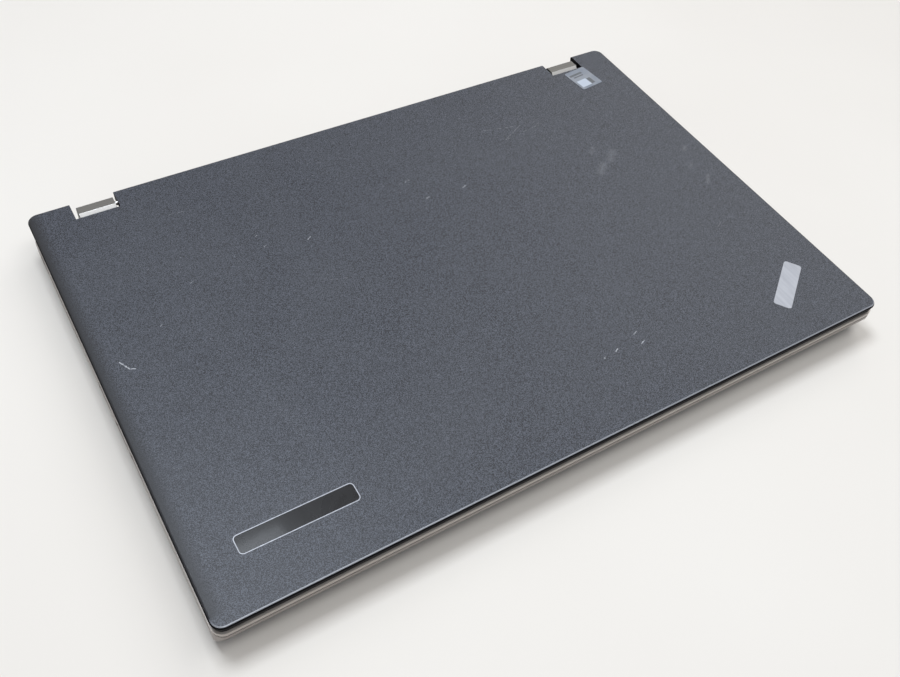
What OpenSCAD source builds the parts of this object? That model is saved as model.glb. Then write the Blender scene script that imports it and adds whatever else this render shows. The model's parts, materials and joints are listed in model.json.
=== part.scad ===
// Laptop computer, closed, in millimetres.
// +Z is up, +X is to the user's right and +Y points to the hinges.
// The origin is on the table, under the middle of the closed lid.

/* [Body] */
// Width of the lid and the base
body_w = 339; // [332:0.5:346]
// Depth of the lid, front edge to rear edge
body_d = 230; // [226:0.5:236]
// Height from the table to the top of the closed lid
total_h = 21; // [20.6:0.1:22]
// Corner radius of the lid and the base, seen from above
corner_r = 5; // [4:0.5:7]
// How far the base's rear wall stands in front of the lid's rear edge
base_setback = 5; // [4.5:0.1:5.5]
// Height of the rubber feet
foot_h = 1.2; // [0.8:0.1:1.4]
// Thickness of the bottom cover's plate
floor_t = 1.5; // [1.2:0.1:1.6]
// How far the bottom cover tapers in under the base
undercut = 9; // [7:0.5:10]
// Height at which the tapered bottom cover meets the edge band
taper_top = 6; // [5.6:0.1:6.2]
// Thickness of the edge band's wall
band_t = 1.8; // [1.5:0.1:2]
// Width of the shadow groove that runs round the edge band
groove_w = 0.7; // [0.5:0.1:0.9]
// Depth of that groove
groove_deep = 0.7; // [0.4:0.1:0.9]
// Distance from the deck down to that groove
groove_drop = 1.9; // [1.7:0.1:2.2]
// Height at which the front starts to cut back under the base
front_rise = 11.6; // [11:0.1:11.9]
// How far the front cuts back by the time it reaches the bottom
front_cut = 8; // [7:0.5:8.5]
// Thickness of the palm rest's plate and skirt
deck_t = 1.5; // [1.3:0.1:1.6]

/* [Lid] */
// Thickness of the lid
lid_t = 4.6; // [4.5:0.1:4.8]
// Air gap between the lid and the deck
lid_gap = 0.5; // [0.45:0.05:0.6]
// Thickness of the lid cover's top wall
lid_wall = 1.1; // [1:0.05:1.15]
// Thickness of the lid cover's side wall
lid_side = 1.6; // [1.4:0.1:1.8]
// Radius of the lid's upper rim
rim_r = 1.2; // [0.8:0.1:1.4]
// How far the lid's side leans in from its widest line to its lower edge
lid_lean = 0.8; // [0.4:0.1:0.9]
// Thickness of the screen bezel
bezel_t = 0.8; // [0.7:0.05:0.85]
// Distance from the side of the lid to the picture
screen_side = 14.8; // [14:0.1:17]
// Distance from the lid's free edge to the picture
screen_margin = 19; // [18:0.5:20]
// Distance from the picture to the lid's rear edge
screen_rear = 37.2; // [36:0.2:40]
// Length of the plain inlay near the lid's free edge
front_badge_l = 50; // [44:0.5:54]
// Width of that inlay
front_badge_w = 8.6; // [7:0.2:10]
// Length of the plain badge across the lid's corner
corner_badge_l = 31.5; // [28:0.5:34]
// Width of that badge
corner_badge_w = 9; // [7:0.2:10]
// Angle of that badge
corner_badge_turn = 36.4; // [30:0.2:42]

/* [Hinges] */
// Distance from the lid's rear edge to the hinge axis
hinge_inset = 6; // [5.9:0.1:6.2]
// Distance from the lid's top to the hinge axis
hinge_drop = 2.5; // [2.4:0.05:2.6]
// Distance from the side of the lid to its hinge notch
notch_side = 20.4; // [19:0.2:22]
// Width of the hinge notch
notch_w = 21.2; // [20.8:0.1:22]
// Depth of the hinge notch
notch_d = 11.5; // [11.4:0.1:11.8]
// Width of the hinge knuckle that stands in the notch
knuckle_w = 17.6; // [17:0.1:17.8]
// Gap between the knuckle and the inner side of the notch
knuckle_gap = 1.4; // [1:0.1:1.6]
// Radius of the hinge pin
pin_r = 1.1; // [1:0.05:1.15]

/* [Keyboard] */
// Distance from the side of the deck to the keyboard
keyboard_side = 26.6; // [25.5:0.1:28]
// Distance between the middles of two key rows
row_pitch = 18.6; // [18.2:0.1:18.8]
// Depth of the function key row
function_pitch = 12; // [11:0.5:12.5]
// Gap between two keycaps
key_gap = 2.4; // [2:0.1:3]
// How far a key travels down
key_travel = 1.8; // [1.5:0.1:1.8]
// Height of a keycap
key_h = 2.8; // [2.5:0.1:2.9]
// Depth of the deck between the keyboard's tray and the hinge pockets
strip_d = 20; // [18.5:0.5:21]

/* [Touchpad] */
// Width of the touchpad
pad_w = 100; // [94:0.5:104]
// Distance from the front edge to the touchpad
pad_margin = 9; // [8.5:0.5:10]
// Distance from the stick's buttons to the keyboard
button_gap = 6.3; // [5:0.1:8]
// Depth of the pointing stick's buttons
button_d = 13.5; // [12:0.5:14]
// Width of the middle button
middle_w = 22; // [18:0.5:26]

/* [Inside] */
// Width of the battery pack
battery_w = 170; // [160:1:172]
// Depth of the battery pack
battery_d = 64; // [58:1:65]
// Thickness of the battery pack and of the storage drive
pack_h = 7; // [6.5:0.1:7.2]
// Width of the storage drive
drive_w = 69.85; // [69:0.05:70]
// Length of the storage drive
drive_d = 100.2; // [99:0.1:101]
// Radius of the fan's blades
fan_r = 27; // [24:0.5:28]
// Number of fan blades
fan_blades = 23; // [17:1:29]
// Height of the fan housing
fan_h = 7; // [6.5:0.1:7.2]
// Width of the heat pipe
pipe_w = 8; // [7:0.2:9]
// Number of cooling fins
fin_count = 18; // [14:1:22]

/* [Ports] */
// Radius of the headphone socket's bore
audio_r = 1.75; // [1.7:0.05:1.8]
// Depth of the headphone socket's bore
audio_deep = 14; // [13:0.5:15]
// Width of the network socket's mouth
network_w = 11.8; // [11.6:0.1:12]
// Height of the network socket's mouth
network_h = 7.4; // [7.2:0.1:7.6]

/* [Hidden] */
$fn = 48;

// ---- clearances shared by the pieces ----
cut = 1;            // how far a cutting shape runs past the face it cuts
fit = 0.1;          // seat of a piece that is placed and stays
slip = 0.2;         // piece set in a pocket of another piece
key_slip = 0.45;    // keycap in its hole
moving = 0.4;       // button or pad in its hole
pin_slip = 0.05;    // hinge pin in its bore
cove_gap = 0.3;     // lid's rear edge in the base's cove

// ---- heights ----
lid_top = total_h;
lid_bottom = lid_top - lid_t;
lid_ceiling = lid_top - lid_wall;
bezel_top = lid_bottom + bezel_t;
deck_top = lid_bottom - lid_gap;
deck_under = deck_top - deck_t;
floor_z = foot_h + floor_t;

// ---- plan ----
half_w = body_w / 2;
front_y = -body_d / 2;
back_y = body_d / 2;
base_back = back_y - base_setback;
base_d = base_back - front_y;
base_mid = (base_back + front_y) / 2;
skirt_in = band_t + fit;             // outer face of the palm rest's skirt
inner_in = skirt_in + deck_t;        // inner face of that skirt

// ---- hinges ----
hinge_y = back_y - hinge_inset;
hinge_z = lid_top - hinge_drop;
chin_r = norm([hinge_inset, max(hinge_drop, lid_t - hinge_drop)]);
cove_r = chin_r + cove_gap;
notch_x0 = half_w - notch_side - notch_w;         // inner side of the right-hand notch
notch_x1 = half_w - notch_side;
notch_y = back_y - notch_d;
notch_wall = 1.2;
knuckle_x0 = notch_x0 + knuckle_gap;
knuckle_x1 = knuckle_x0 + knuckle_w;
knuckle_front = notch_y + 0.4;
knuckle_top = lid_top - 0.2;
knuckle_back = hinge_y + 3.2;
knuckle_foot_z = deck_under - 2.8;
knuckle_foot_t = 1.2;
knuckle_foot_d = 17;
knuckle_screws = [5.5, 12];            // distances from the knuckle's pocket to its two screws
foot_boss_r = 2.4;
pocket_y = notch_y - 2.5;             // front wall of the base's pocket for the knuckle
pocket_z = taper_top + 2.6;
cable_r = 0.8;

// ---- keyboard ----
// The columns of keys share the width that the deck leaves, at the usual pitch of 19 mm.
key_columns = 15;
keyboard_w = body_w - 2 * keyboard_side;
key_pitch = keyboard_w / key_columns;
keyboard_d = 5 * row_pitch + function_pitch;
keyboard_x = -keyboard_w / 2;
keyboard_rim = 3;                     // how far the tray reaches past the outer keys
keyboard_y = pocket_y - strip_d - keyboard_rim - keyboard_d;
palm_d = keyboard_y - front_y;
tray_wall = 1;
frame_t = 1.2;                        // the frame between the keys
key_top = deck_top - 0.2;
key_z = key_top - key_h;
plate_top = key_z - key_travel - 0.1;
plate_t = 0.6;
frame_z = deck_under - frame_t;
key_corner = 1.4;
stick_u = 6.75;                       // the stick stands between the 6th and 7th letter of the home row
stick_x = keyboard_x + stick_u * key_pitch;
stick_y = keyboard_y + 2 * row_pitch;
stick_r = 3.3;

// Width of each key in a row, in key pitches, left to right.
number_row = [for (i = [0 : 12]) 1, 2];
upper_row = [1.5, for (i = [0 : 11]) 1, 1.5];
home_row = [1.75, for (i = [0 : 10]) 1];
enter_u = 12.75;
lower_row = [2.25, for (i = [0 : 9]) 1, 2.75];
function_count = 17;
function_row = [for (i = [1 : function_count]) key_columns / function_count];
modifier_u = [0, 1, 2, 3, 9, 10, 11];
space_u = 4;
space_units = 5;
arrow_u = 12;

// ---- touchpad and its buttons ----
pad_y0 = front_y + pad_margin;
pad_line = 1.2;                       // deck between the touchpad and the buttons
pad_d = palm_d - pad_margin - pad_line - button_d - button_gap;
pad_y1 = pad_y0 + pad_d;
pad_t = 1.8;
button_y0 = pad_y1 + pad_line;
button_t = 1.6;
button_proud = 0.2;
side_button_w = (pad_w - middle_w) / 2 - moving;

// ---- inside ----
board_z = floor_z + 3.3;
board_t = 1;
board_top = board_z + board_t;
drive_x1 = half_w - 29.5;
drive_x0 = drive_x1 - drive_w;
battery_x1 = drive_x0 - 10;
battery_y0 = front_y + 17;
drive_y0 = front_y + 13;
fan_x = -half_w + 57;
fan_y = hinge_y - 47;
fan_wall = 3;
fan_half = fan_r + fan_wall;
fin_x0 = -half_w + 9;
fin_x1 = fan_x - fan_half - 1;
fin_d = 44;
fin_y0 = fan_y - 22;
pipe_t = 1.5;
chip_h = 1.3;
pipe_z = board_top + chip_h;
pipe_y = fan_y - fan_half - 7;
cpu_x = -26;
cpu_y = pipe_y;
cpu_size = 26;
board_front = battery_y0 + battery_d + 4;
board_back = hinge_y - 13.5;
spreader = 40;
power_x = half_w - 40;
power_y = hinge_y - 19;
power_r = 5;
speaker_x = half_w - 69.5;
speaker_w = 32;
speaker_d = 13;
speaker_h = 3.4;
speaker_y = hinge_y - 18.5;
slot_w = 1;
slot_step = 2.4;
slot_count = 12;
slot_l = 8;

// ---- screws ----
boss_side = half_w - 19.5;
boss_r = 2.6;
boss_pad_r = 4;
boss_pad_h = 0.7;
screw_r = 1;
head_r = 2.4;
head_h = 0.9;
screw_len = 7;
boss_front = front_y + 12;
boss_back = hinge_y - 12;
boss_mid = speaker_x - 26;
boss_pad_gap = 15.56;                 // from the touchpad's left edge
boss_key_gap = 13;                    // from the keyboard's front edge
// Places of the bottom cover's screws, from the corner bosses to the middle ones.
screws = [
    [-boss_side, boss_front + 3], [stick_x - pad_w / 2 - boss_pad_gap, boss_front],
    [battery_x1 + 4, boss_front], [boss_side, boss_front + 3],
    [-boss_side, front_y + 45], [boss_side, drive_y0 + 92], [battery_x1 + 5, keyboard_y - boss_key_gap],
    [-boss_mid, boss_back], [0, boss_back], [boss_mid, boss_back]
];

// ---- ports: y of the middle, width along y, lowest z, height ----
usb_w = 14.4;
usb_h = 5.8;
usb_deep = 17;
usb_wall = 0.5;
usb_left = [hinge_y - 141, hinge_y - 123];
usb_right = [hinge_y - 59];
video_y = hinge_y - 102;
video_w = 15.4;
video_h = 5.6;
power_jack_y = hinge_y - 17;
power_jack_w = 12.4;
power_jack_h = 5.4;
audio_y = hinge_y - 79;
audio_w = 7;
audio_h = 5.9;
audio_z = board_top + audio_h / 2;
network_y = hinge_y - 35.5;
network_lip = 0.4;
network_z = deck_under - network_lip - fit - network_h;
network_deep = 14;
network_wall = 1.6;
card_y = front_y + 70;
card_w = 26;
card_h = 3.6;
card_slot = 2.4;
lock_y = hinge_y - 15;
lock_w = 3;
lock_h = 7;
port_face = 0.3;      // ports stand this far inside the band's outer face
port_slip = 0.25;
black = [0.045, 0.047, 0.052];
charcoal = [0.11, 0.115, 0.125];
silver = [0.62, 0.6, 0.57];

// ==== shared shapes ====

// Rectangle with round corners, centred.
module rounded(w, d, r) {
    square([w - 2 * r, d], center = true);
    square([w, d - 2 * r], center = true);
    for (x = [-1, 1], y = [-1, 1])
        translate([x * (w / 2 - r), y * (d / 2 - r)]) circle(r);
}

// Rectangle with cut corners, centred.
function cut_corners(w, d, c) = [
    [-w / 2 + c, -d / 2], [w / 2 - c, -d / 2], [w / 2, -d / 2 + c], [w / 2, d / 2 - c],
    [w / 2 - c, d / 2], [-w / 2 + c, d / 2], [-w / 2, d / 2 - c], [-w / 2, -d / 2 + c]
];

// Block from one corner to the opposite one.
module block(low, high) {
    translate(low) cube(high - low);
}

// Cylinder along X from x0 to x1.
module rod_x(x0, x1, y, z, r) {
    translate([x0, y, z]) rotate([0, 90, 0]) cylinder(r = r, h = x1 - x0);
}

// Cylinder standing on z0.
module post(x, y, z0, z1, r) {
    translate([x, y, z0]) cylinder(r = r, h = z1 - z0);
}

// Does something on both hinges: the right-hand shape and its mirror image.
module both_sides() {
    children();
    mirror([1, 0, 0]) children();
}

// Outline of the base, moved in by an inset.
module base_outline(inset = 0) {
    translate([0, base_mid])
        rounded(body_w - 2 * inset, base_d - 2 * inset, max(corner_r - inset, 0.6));
}

// The trough that the lid's rear edge turns in.
module cove(extra = 0) {
    rod_x(-half_w - cut, half_w + cut, hinge_y, hinge_z, cove_r + extra);
}

// The pockets that the hinge knuckles fill in the base.
module knuckle_pockets(slack = slip) {
    both_sides()
        block([knuckle_x0 - slack, pocket_y - slack, pocket_z - slack],
              [knuckle_x1 + slack, back_y + cut, lid_top]);
}

// ==== lid ====

// Cross-section of a slab with a rounded upper rim, centred on its width.
module rim_section(w) {
    polygon([[lid_lean - w / 2, 0], [w / 2 - lid_lean, 0], [w / 2, lid_t - rim_r], [-w / 2, lid_t - rim_r]]);
    translate([rim_r - w / 2, 0]) square([w - 2 * rim_r, lid_t]);
    for (x = [-1, 1]) translate([x * (w / 2 - rim_r), lid_t - rim_r]) circle(rim_r);
}

// The lid's outer form: a slab with round corners and a rounded upper rim.
module lid_form() {
    translate([0, 0, lid_bottom]) {
        rotate([90, 0, 90]) linear_extrude(body_w - 2 * corner_r, center = true) rim_section(body_d);
        rotate([90, 0, 0]) linear_extrude(body_d - 2 * corner_r, center = true) rim_section(body_w);
        for (x = [-1, 1], y = [-1, 1])
            translate([x * (half_w - corner_r), y * (body_d / 2 - corner_r), 0])
                rotate_extrude() {
                    polygon([[0, 0], [corner_r - lid_lean, 0], [corner_r, lid_t - rim_r],
                             [0, lid_t - rim_r]]);
                    square([corner_r - rim_r, lid_t]);
                    intersection() {
                        translate([corner_r - rim_r, lid_t - rim_r]) circle(rim_r);
                        square([corner_r, lid_t]);
                    }
                }
    }
}

// The lid's inner outline, clear of the notches by their wall.
module lid_inside(inset = 0) {
    difference() {
        rounded(body_w - 2 * (lid_side + inset), body_d - 2 * (lid_side + inset),
                corner_r - lid_side - inset);
        for (x = [-1, 1])
            translate([x * (notch_x0 + notch_x1) / 2, back_y])
                square([notch_w + 2 * (notch_wall + inset), 2 * (notch_d + notch_wall + inset)],
                       center = true);
    }
}

badge_deep = 0.3;
badge_proud = 0.1;
front_badge_at = [-half_w + 44.5, front_y + 27];
corner_badge_at = [half_w - 32.9, front_y + 30];

module front_badge_shape(inset = 0) {
    translate(front_badge_at) rounded(front_badge_l - 2 * inset, front_badge_w - 2 * inset, 1.5);
}

module corner_badge_shape(inset = 0) {
    translate(corner_badge_at) rotate(corner_badge_turn)
        rounded(corner_badge_l - 2 * inset, corner_badge_w - 2 * inset, 1.5);
}

arm_screws = [[notch_x0 - 8, back_y - 20], [half_w - 6.6, back_y - 60], [half_w - 6.6, back_y - 88]];
arm_t = 0.9;
arm_z = lid_ceiling - arm_t;
arm_hole_r = 0.95;
arm_hole_deep = 0.5;

module lid_cover() {
    color(charcoal) difference() {
        lid_form();
        translate([0, 0, lid_bottom - cut]) linear_extrude(lid_t - lid_wall + cut) lid_inside();
        both_sides() block([notch_x0, notch_y, lid_bottom - cut], [notch_x1, back_y + cut, lid_top + cut]);
        both_sides() rod_x(notch_x0 - notch_wall - cut, notch_x0 + cut, hinge_y, hinge_z, pin_r + slip);
        rod_x(notch_x1 - cut, notch_x1 + notch_wall + cut, hinge_y, hinge_z, cable_r + slip);
        both_sides() for (p = arm_screws)
            post(p[0], p[1], lid_ceiling - cut, lid_ceiling + arm_hole_deep, arm_hole_r);
        translate([0, 0, lid_top - badge_deep]) linear_extrude(cut) {
            front_badge_shape();
            corner_badge_shape();
        }
    }
}

module front_badge() {
    color(black) translate([0, 0, lid_top - badge_deep])
        linear_extrude(badge_deep + badge_proud) front_badge_shape(fit);
}

module corner_badge() {
    color("silver") translate([0, 0, lid_top - badge_deep])
        linear_extrude(badge_deep + badge_proud) corner_badge_shape(fit);
}

label_w = 15;
label_d = 17;
label_t = 0.12;
label_turn = 7;

module lid_label() {
    color("lightsteelblue") translate([half_w - 26.3, back_y - 21, lid_top]) rotate(label_turn)
        linear_extrude(label_t) rounded(label_w, label_d, 1);
}

screen_w = body_w - 2 * screen_side;
screen_d = body_d - screen_margin - screen_rear;
screen_y = front_y + screen_margin + screen_d / 2;
glass_border = 2;
panel_border = 3.2;
glass_t = 1.1;
camera_y = front_y + 8;
camera_r = 2.1;

module screen_bezel() {
    color(black) translate([0, 0, lid_bottom]) difference() {
        linear_extrude(bezel_t) difference() {
            lid_inside(fit);
            translate([0, screen_y]) square([screen_w, screen_d], center = true);
        }
        post(0, camera_y, -cut, bezel_t + cut, camera_r + fit);
        for (x = [-22, 22]) post(x, camera_y, -cut, bezel_t + cut, 0.6);
    }
}

module display_glass() {
    color([0.02, 0.02, 0.025]) translate([0, screen_y, bezel_top + glass_t / 2])
        cube([screen_w + 2 * glass_border, screen_d + 2 * glass_border, glass_t], center = true);
}

module display_frame() {
    frame_w = screen_w + 2 * panel_border;
    frame_d = screen_d + 2 * panel_border;
    pocket_w = screen_w + 2 * (glass_border + fit);
    pocket_d = screen_d + 2 * (glass_border + fit);
    color("gainsboro") difference() {
        translate([-frame_w / 2, screen_y - frame_d / 2, bezel_top])
            cube([frame_w, frame_d, lid_ceiling - bezel_top]);
        translate([-pocket_w / 2, screen_y - pocket_d / 2, bezel_top - cut])
            cube([pocket_w, pocket_d, glass_t + cut]);
    }
}

display_board_w = 150;
display_board_d = 5.5;

module display_board() {
    y0 = screen_y + screen_d / 2 + panel_border;
    color("darkgreen") {
        block([-display_board_w / 2, y0, lid_ceiling - 1],
              [display_board_w / 2, y0 + display_board_d, lid_ceiling]);
        for (x = [-52, -20, 14, 46])
            block([x, y0 + 1, lid_ceiling - 1.9], [x + 9, y0 + display_board_d - 1, lid_ceiling - 1]);
    }
}

module webcam_module() {
    color("darkgreen") {
        block([-30, camera_y - 3, bezel_top], [30, camera_y + 3, bezel_top + 1]);
        post(0, camera_y, bezel_top + 1, lid_ceiling - 0.2, 2.8);
        post(0, camera_y, lid_bottom + 0.25, bezel_top, camera_r);
    }
}

module lid_antennas() {
    color("goldenrod") for (x = [-1, 1])
        block([x * 95 - 27, camera_y - 3, lid_ceiling - 0.4], [x * 95 + 27, camera_y + 4, lid_ceiling]);
}

// Right-hand arm: a flat steel L screwed under the lid's top wall, with the hinge pin on its end.
module hinge_arm() {
    inner = notch_x0 - notch_wall - 0.3;
    foot = inner - 14;
    side_x = half_w - lid_side - 1.5;
    turn_y = notch_y - notch_wall - 1.5;
    color("dimgray") difference() {
        union() {
            block([foot, turn_y - 8, arm_z], [inner, hinge_y + 1, lid_ceiling]);
            block([foot, turn_y - 8, arm_z], [side_x, turn_y, lid_ceiling]);
            block([side_x - 7, turn_y - 78, arm_z], [side_x, turn_y, lid_ceiling]);
            block([foot, hinge_y - 2, bezel_top + fit], [inner, hinge_y + 2, lid_ceiling]);
            rod_x(foot, knuckle_x0 + knuckle_w - 7, hinge_y, hinge_z, pin_r);
        }
        for (p = arm_screws) post(p[0], p[1], arm_z - cut, lid_ceiling + cut, arm_hole_r);
    }
}

module hinge_arm_right() { hinge_arm(); }

module hinge_arm_left() { mirror([1, 0, 0]) hinge_arm(); }

module lid_screws() {
    color("silver") both_sides() for (p = arm_screws) {
        post(p[0], p[1], arm_z - 0.7, arm_z, 1.9);
        post(p[0], p[1], arm_z - 0.7, lid_ceiling + arm_hole_deep - 0.1, arm_hole_r - 0.03);
    }
}

module lid_bumpers() {
    color("dimgray") both_sides()
        for (y = [front_y + 9, front_y + 90, front_y + 165])
            post(half_w - 8, y, deck_top + slip, lid_bottom, 2.6);
}

// The screen's cable: a flat ribbon along the lid that ends in a round cord on the hinge axis.
module display_cable_lid() {
    ribbon_t = 1;
    z = lid_ceiling - 1 - ribbon_t;
    start_y = screen_y + screen_d / 2 + panel_border + 1;
    run_y = notch_y - notch_wall - 2.8;
    side_x = notch_x1 + 6;
    turn_x = notch_x0 - 20;
    color(black) {
        translate([0, 0, z]) linear_extrude(ribbon_t) {
            translate([display_board_w / 2 - 8, start_y]) square([8, 4]);
            translate([display_board_w / 2 - 4, start_y + 1]) square([turn_x - display_board_w / 2 + 4, 1.6]);
            translate([turn_x - 1.6, start_y + 1]) square([1.6, run_y - start_y]);
            translate([turn_x - 1.6, run_y]) square([side_x - turn_x + 1.6, 1.6]);
            translate([side_x - 1.6, run_y]) square([1.6, hinge_y - run_y + 0.5]);
        }
        rod_x(notch_x1 + fit, side_x - 0.4, hinge_y, hinge_z, cable_r);
    }
}

// ==== hinge knuckles ====

// Side view of the knuckle: a flat top, a sloping front face and a stepped foot.
function knuckle_section() = [
    [pocket_y, pocket_z], [pocket_y, deck_top], [knuckle_front, deck_top],
    [knuckle_front, hinge_z - 0.3], [hinge_y - 2.4, knuckle_top], [knuckle_back - 1, knuckle_top],
    [knuckle_back, knuckle_top - 1], [knuckle_back, pocket_z + 2.2], [base_back, pocket_z]
];

module hinge_knuckle() {
    foot_x0 = knuckle_x0 + 2.3;
    foot_x1 = knuckle_x1 - 2.3;
    pin_end = knuckle_x1 - 6.5;
    shaft = knuckle_x1 - 3.6;
    color(silver) difference() {
        union() {
            translate([knuckle_x0, 0, 0]) rotate([90, 0, 90]) linear_extrude(knuckle_w)
                polygon(knuckle_section());
            block([foot_x0, pocket_y - knuckle_foot_d, knuckle_foot_z],
                  [foot_x1, pocket_y + 1, knuckle_foot_z + knuckle_foot_t]);
        }
        rod_x(knuckle_x0 - cut, pin_end, hinge_y, hinge_z, pin_r + pin_slip);
        for (y = knuckle_screws)
            post((foot_x0 + foot_x1) / 2, pocket_y - y, knuckle_foot_z - cut, knuckle_foot_z + 3,
                 screw_r + fit);
        children();
    }
}

cable_bore = cable_r + slip;
cable_t = 1.4;                         // thickness of the cable's flat runs
cable_x = knuckle_x1 - 3.6;
cable_low = board_top + 1.2;
// The cable's way through the knuckle, seen from the side: from the hinge axis down and forwards.
cable_path = [[hinge_y, hinge_z], [hinge_y - 4, pocket_z + 2.2], [pocket_y - 5, pocket_z + 1.6]];

// Flat strip that follows a list of points.
module strip(path, t) {
    for (i = [0 : len(path) - 2]) {
        step = path[i + 1] - path[i];
        translate(path[i]) rotate(atan2(step[1], step[0]))
            translate([-t / 2, -t / 2]) square([norm(step) + t, t]);
    }
}

module cable_run(path, t) {
    translate([cable_x - t / 2, 0, 0]) rotate([90, 0, 90]) linear_extrude(t) strip(path, t);
}

module hinge_knuckle_right() {
    hinge_knuckle() {
        rod_x(cable_x, knuckle_x1 + cut, hinge_y, hinge_z, cable_bore);
        cable_run(cable_path, cable_t + 2 * slip);
    }
}

module hinge_knuckle_left() {
    mirror([1, 0, 0]) hinge_knuckle();
}

// Base end of the screen's cable: along the hinge axis, down the knuckle and in to the mainboard.
module display_cable_base() {
    turn = [cable_x, hinge_y - 24];
    plug = [cable_x - 26, hinge_y - 30];
    color(black) {
        rod_x(cable_x, notch_x1 - fit, hinge_y, hinge_z, cable_r);
        cable_run([each cable_path, [turn[1], cable_low]], cable_t);
        translate([0, 0, cable_low - cable_t / 2]) linear_extrude(cable_t) strip([turn, plug], cable_t);
        block([plug[0] - 6, plug[1] - 4, board_top], [plug[0] + 2, plug[1] + 3, board_top + 2.2]);
    }
}

// ==== base shells ====

// Points of the base's tapered section for a half width, moved in by an inset.
taper_h = taper_top - foot_h;
taper_slope = taper_h / undercut;
taper_shift = sqrt(1 + taper_slope * taper_slope);
function taper_side(half, inset, top) =
    let (side = half - inset,
         low = foot_h + inset,
         shoulder = taper_top - inset * taper_slope + inset * taper_shift,
         foot = half - undercut + inset * (1 - taper_shift) / taper_slope)
    [[side, top], [side, shoulder], [foot, low], [-foot, low], [-side, shoulder], [-side, top]];

// The base's outer form up to a height, moved in by an inset.
// The room under the sloping front, moved in by a wall's thickness.
front_slope = (front_rise - foot_h) / front_cut;
front_lip_d = (front_rise - taper_top) / front_slope + 2.4;
module front_room(inset) {
    rise = inset * sqrt(1 + front_slope * front_slope);
    rotate([90, 0, 90]) linear_extrude(body_w + 2 * cut, center = true)
        polygon([[front_y - cut, front_rise + cut * front_slope + rise],
                 [front_y + front_cut + 2, foot_h - 2 * front_slope + rise],
                 [front_y + front_cut + 2, -front_rise], [front_y - cut, -front_rise]]);
}

// The stretch along the front where the bottom cover reaches up to the slope's start.
module front_stretch(slack = 0) {
    block([-half_w - cut, front_y - cut, -cut], [half_w + cut, front_y + front_lip_d + slack, front_rise]);
}

module tub(inset, top) {
    difference() {
        tapered(inset, top);
        front_room(inset);
    }
}

module tapered(inset, top) {
    intersection() {
        translate([0, 0, foot_h + inset]) linear_extrude(top - foot_h - inset) base_outline(inset);
        translate([0, base_mid, 0]) rotate([90, 0, 0])
            linear_extrude(base_d, center = true) polygon(taper_side(half_w, inset, top));
        translate([0, base_mid, 0]) rotate([90, 0, 90])
            linear_extrude(body_w, center = true) polygon(taper_side(base_d / 2, inset, top));
    }
}

// Shapes that cut the side walls for the ports.
module port_cut(side, y, w, z, h, slack = port_slip) {
    translate([side * half_w, y, z + h / 2])
        cube([2 * (inner_in + cut), w + 2 * slack, h + 2 * slack], center = true);
}

exhaust_count = 11;
exhaust_step = 3.8;
exhaust_w = 2.2;
exhaust_z = taper_top + 0.5;
exhaust_h = 5;

module port_cuts() {
    for (y = usb_left) port_cut(-1, y, usb_w, board_top, usb_h);
    for (y = usb_right) port_cut(1, y, usb_w, board_top, usb_h);
    port_cut(-1, video_y, video_w, board_top, video_h);
    port_cut(-1, power_jack_y, power_jack_w, board_top, power_jack_h);
    port_cut(1, network_y, network_w + 2 * network_wall,
             network_z - network_lip, network_h + 2 * network_lip);
    port_cut(1, card_y, card_w, board_top, card_h);
    port_cut(1, lock_y, lock_w, taper_top + 1, lock_h, 0);
    port_cut(1, audio_y, audio_w, board_top, audio_h);
    for (i = [0 : exhaust_count - 1])
        port_cut(-1, fan_y + (i - (exhaust_count - 1) / 2) * exhaust_step,
                 exhaust_w, exhaust_z, exhaust_h, 0);
}

memory_at = [half_w - 161.5, hinge_y - 52];
// Posts that carry the mainboard.
board_posts = [
    [fan_x, board_front + 5], [memory_at[0] + 32, board_front + 10], [fan_x + fan_half + 20, fan_y - 10],
    [memory_at[0] + 52, hinge_y - 22], [boss_side, network_y - 23]
];

module screw_places() {
    for (p = screws) translate([p[0], p[1], 0]) children();
}

vent_w = 2;
vent_step = 4.6;
vent_count = 10;

module bottom_cover() {
    color(black) difference() {
        union() {
            difference() {
                tub(0, taper_top);
                tub(floor_t, taper_top + cut);
            }
            intersection() {
                difference() {
                    tub(0, front_rise);
                    tub(floor_t, front_rise + cut);
                }
                front_stretch();
            }
            screw_places() post(0, 0, floor_z - fit, floor_z + boss_pad_h, boss_pad_r);
            for (p = board_posts) post(p[0], p[1], floor_z - fit, board_z, 2.5);
        }
        screw_places() {
            post(0, 0, 0, floor_z + cut, screw_r + slip);
            post(0, 0, 0, foot_h + head_h + fit, head_r + slip);
        }
        for (i = [0 : vent_count - 1])
            translate([fan_x + (i - (vent_count - 1) / 2) * vent_step, fan_y, floor_z])
                cube([vent_w, 34, 3 * floor_t], center = true);
        for (i = [0 : vent_count - 1])
            translate([memory_at[0] + 24 + (i - (vent_count - 1) / 2) * vent_step, fan_y, floor_z])
                cube([vent_w, 22, 3 * floor_t], center = true);
        port_cuts();
    }
}

groove_top = deck_top - groove_drop;

module edge_band() {
    color(silver) difference() {
        translate([0, 0, taper_top]) linear_extrude(deck_top - taper_top) difference() {
            base_outline();
            base_outline(band_t);
        }
        translate([0, 0, groove_top - groove_w]) linear_extrude(groove_w) difference() {
            base_outline(-cut);
            base_outline(groove_deep);
        }
        front_stretch(fit);
        cove();
        knuckle_pockets();
        port_cuts();
    }
}

module speaker_slots() {
    for (side = [-1, 1], i = [0 : slot_count - 1])
        translate([side * speaker_x + (i - (slot_count - 1) / 2) * slot_step, speaker_y, deck_top])
            cube([slot_w, slot_l, 3 * deck_t], center = true);
}

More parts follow.
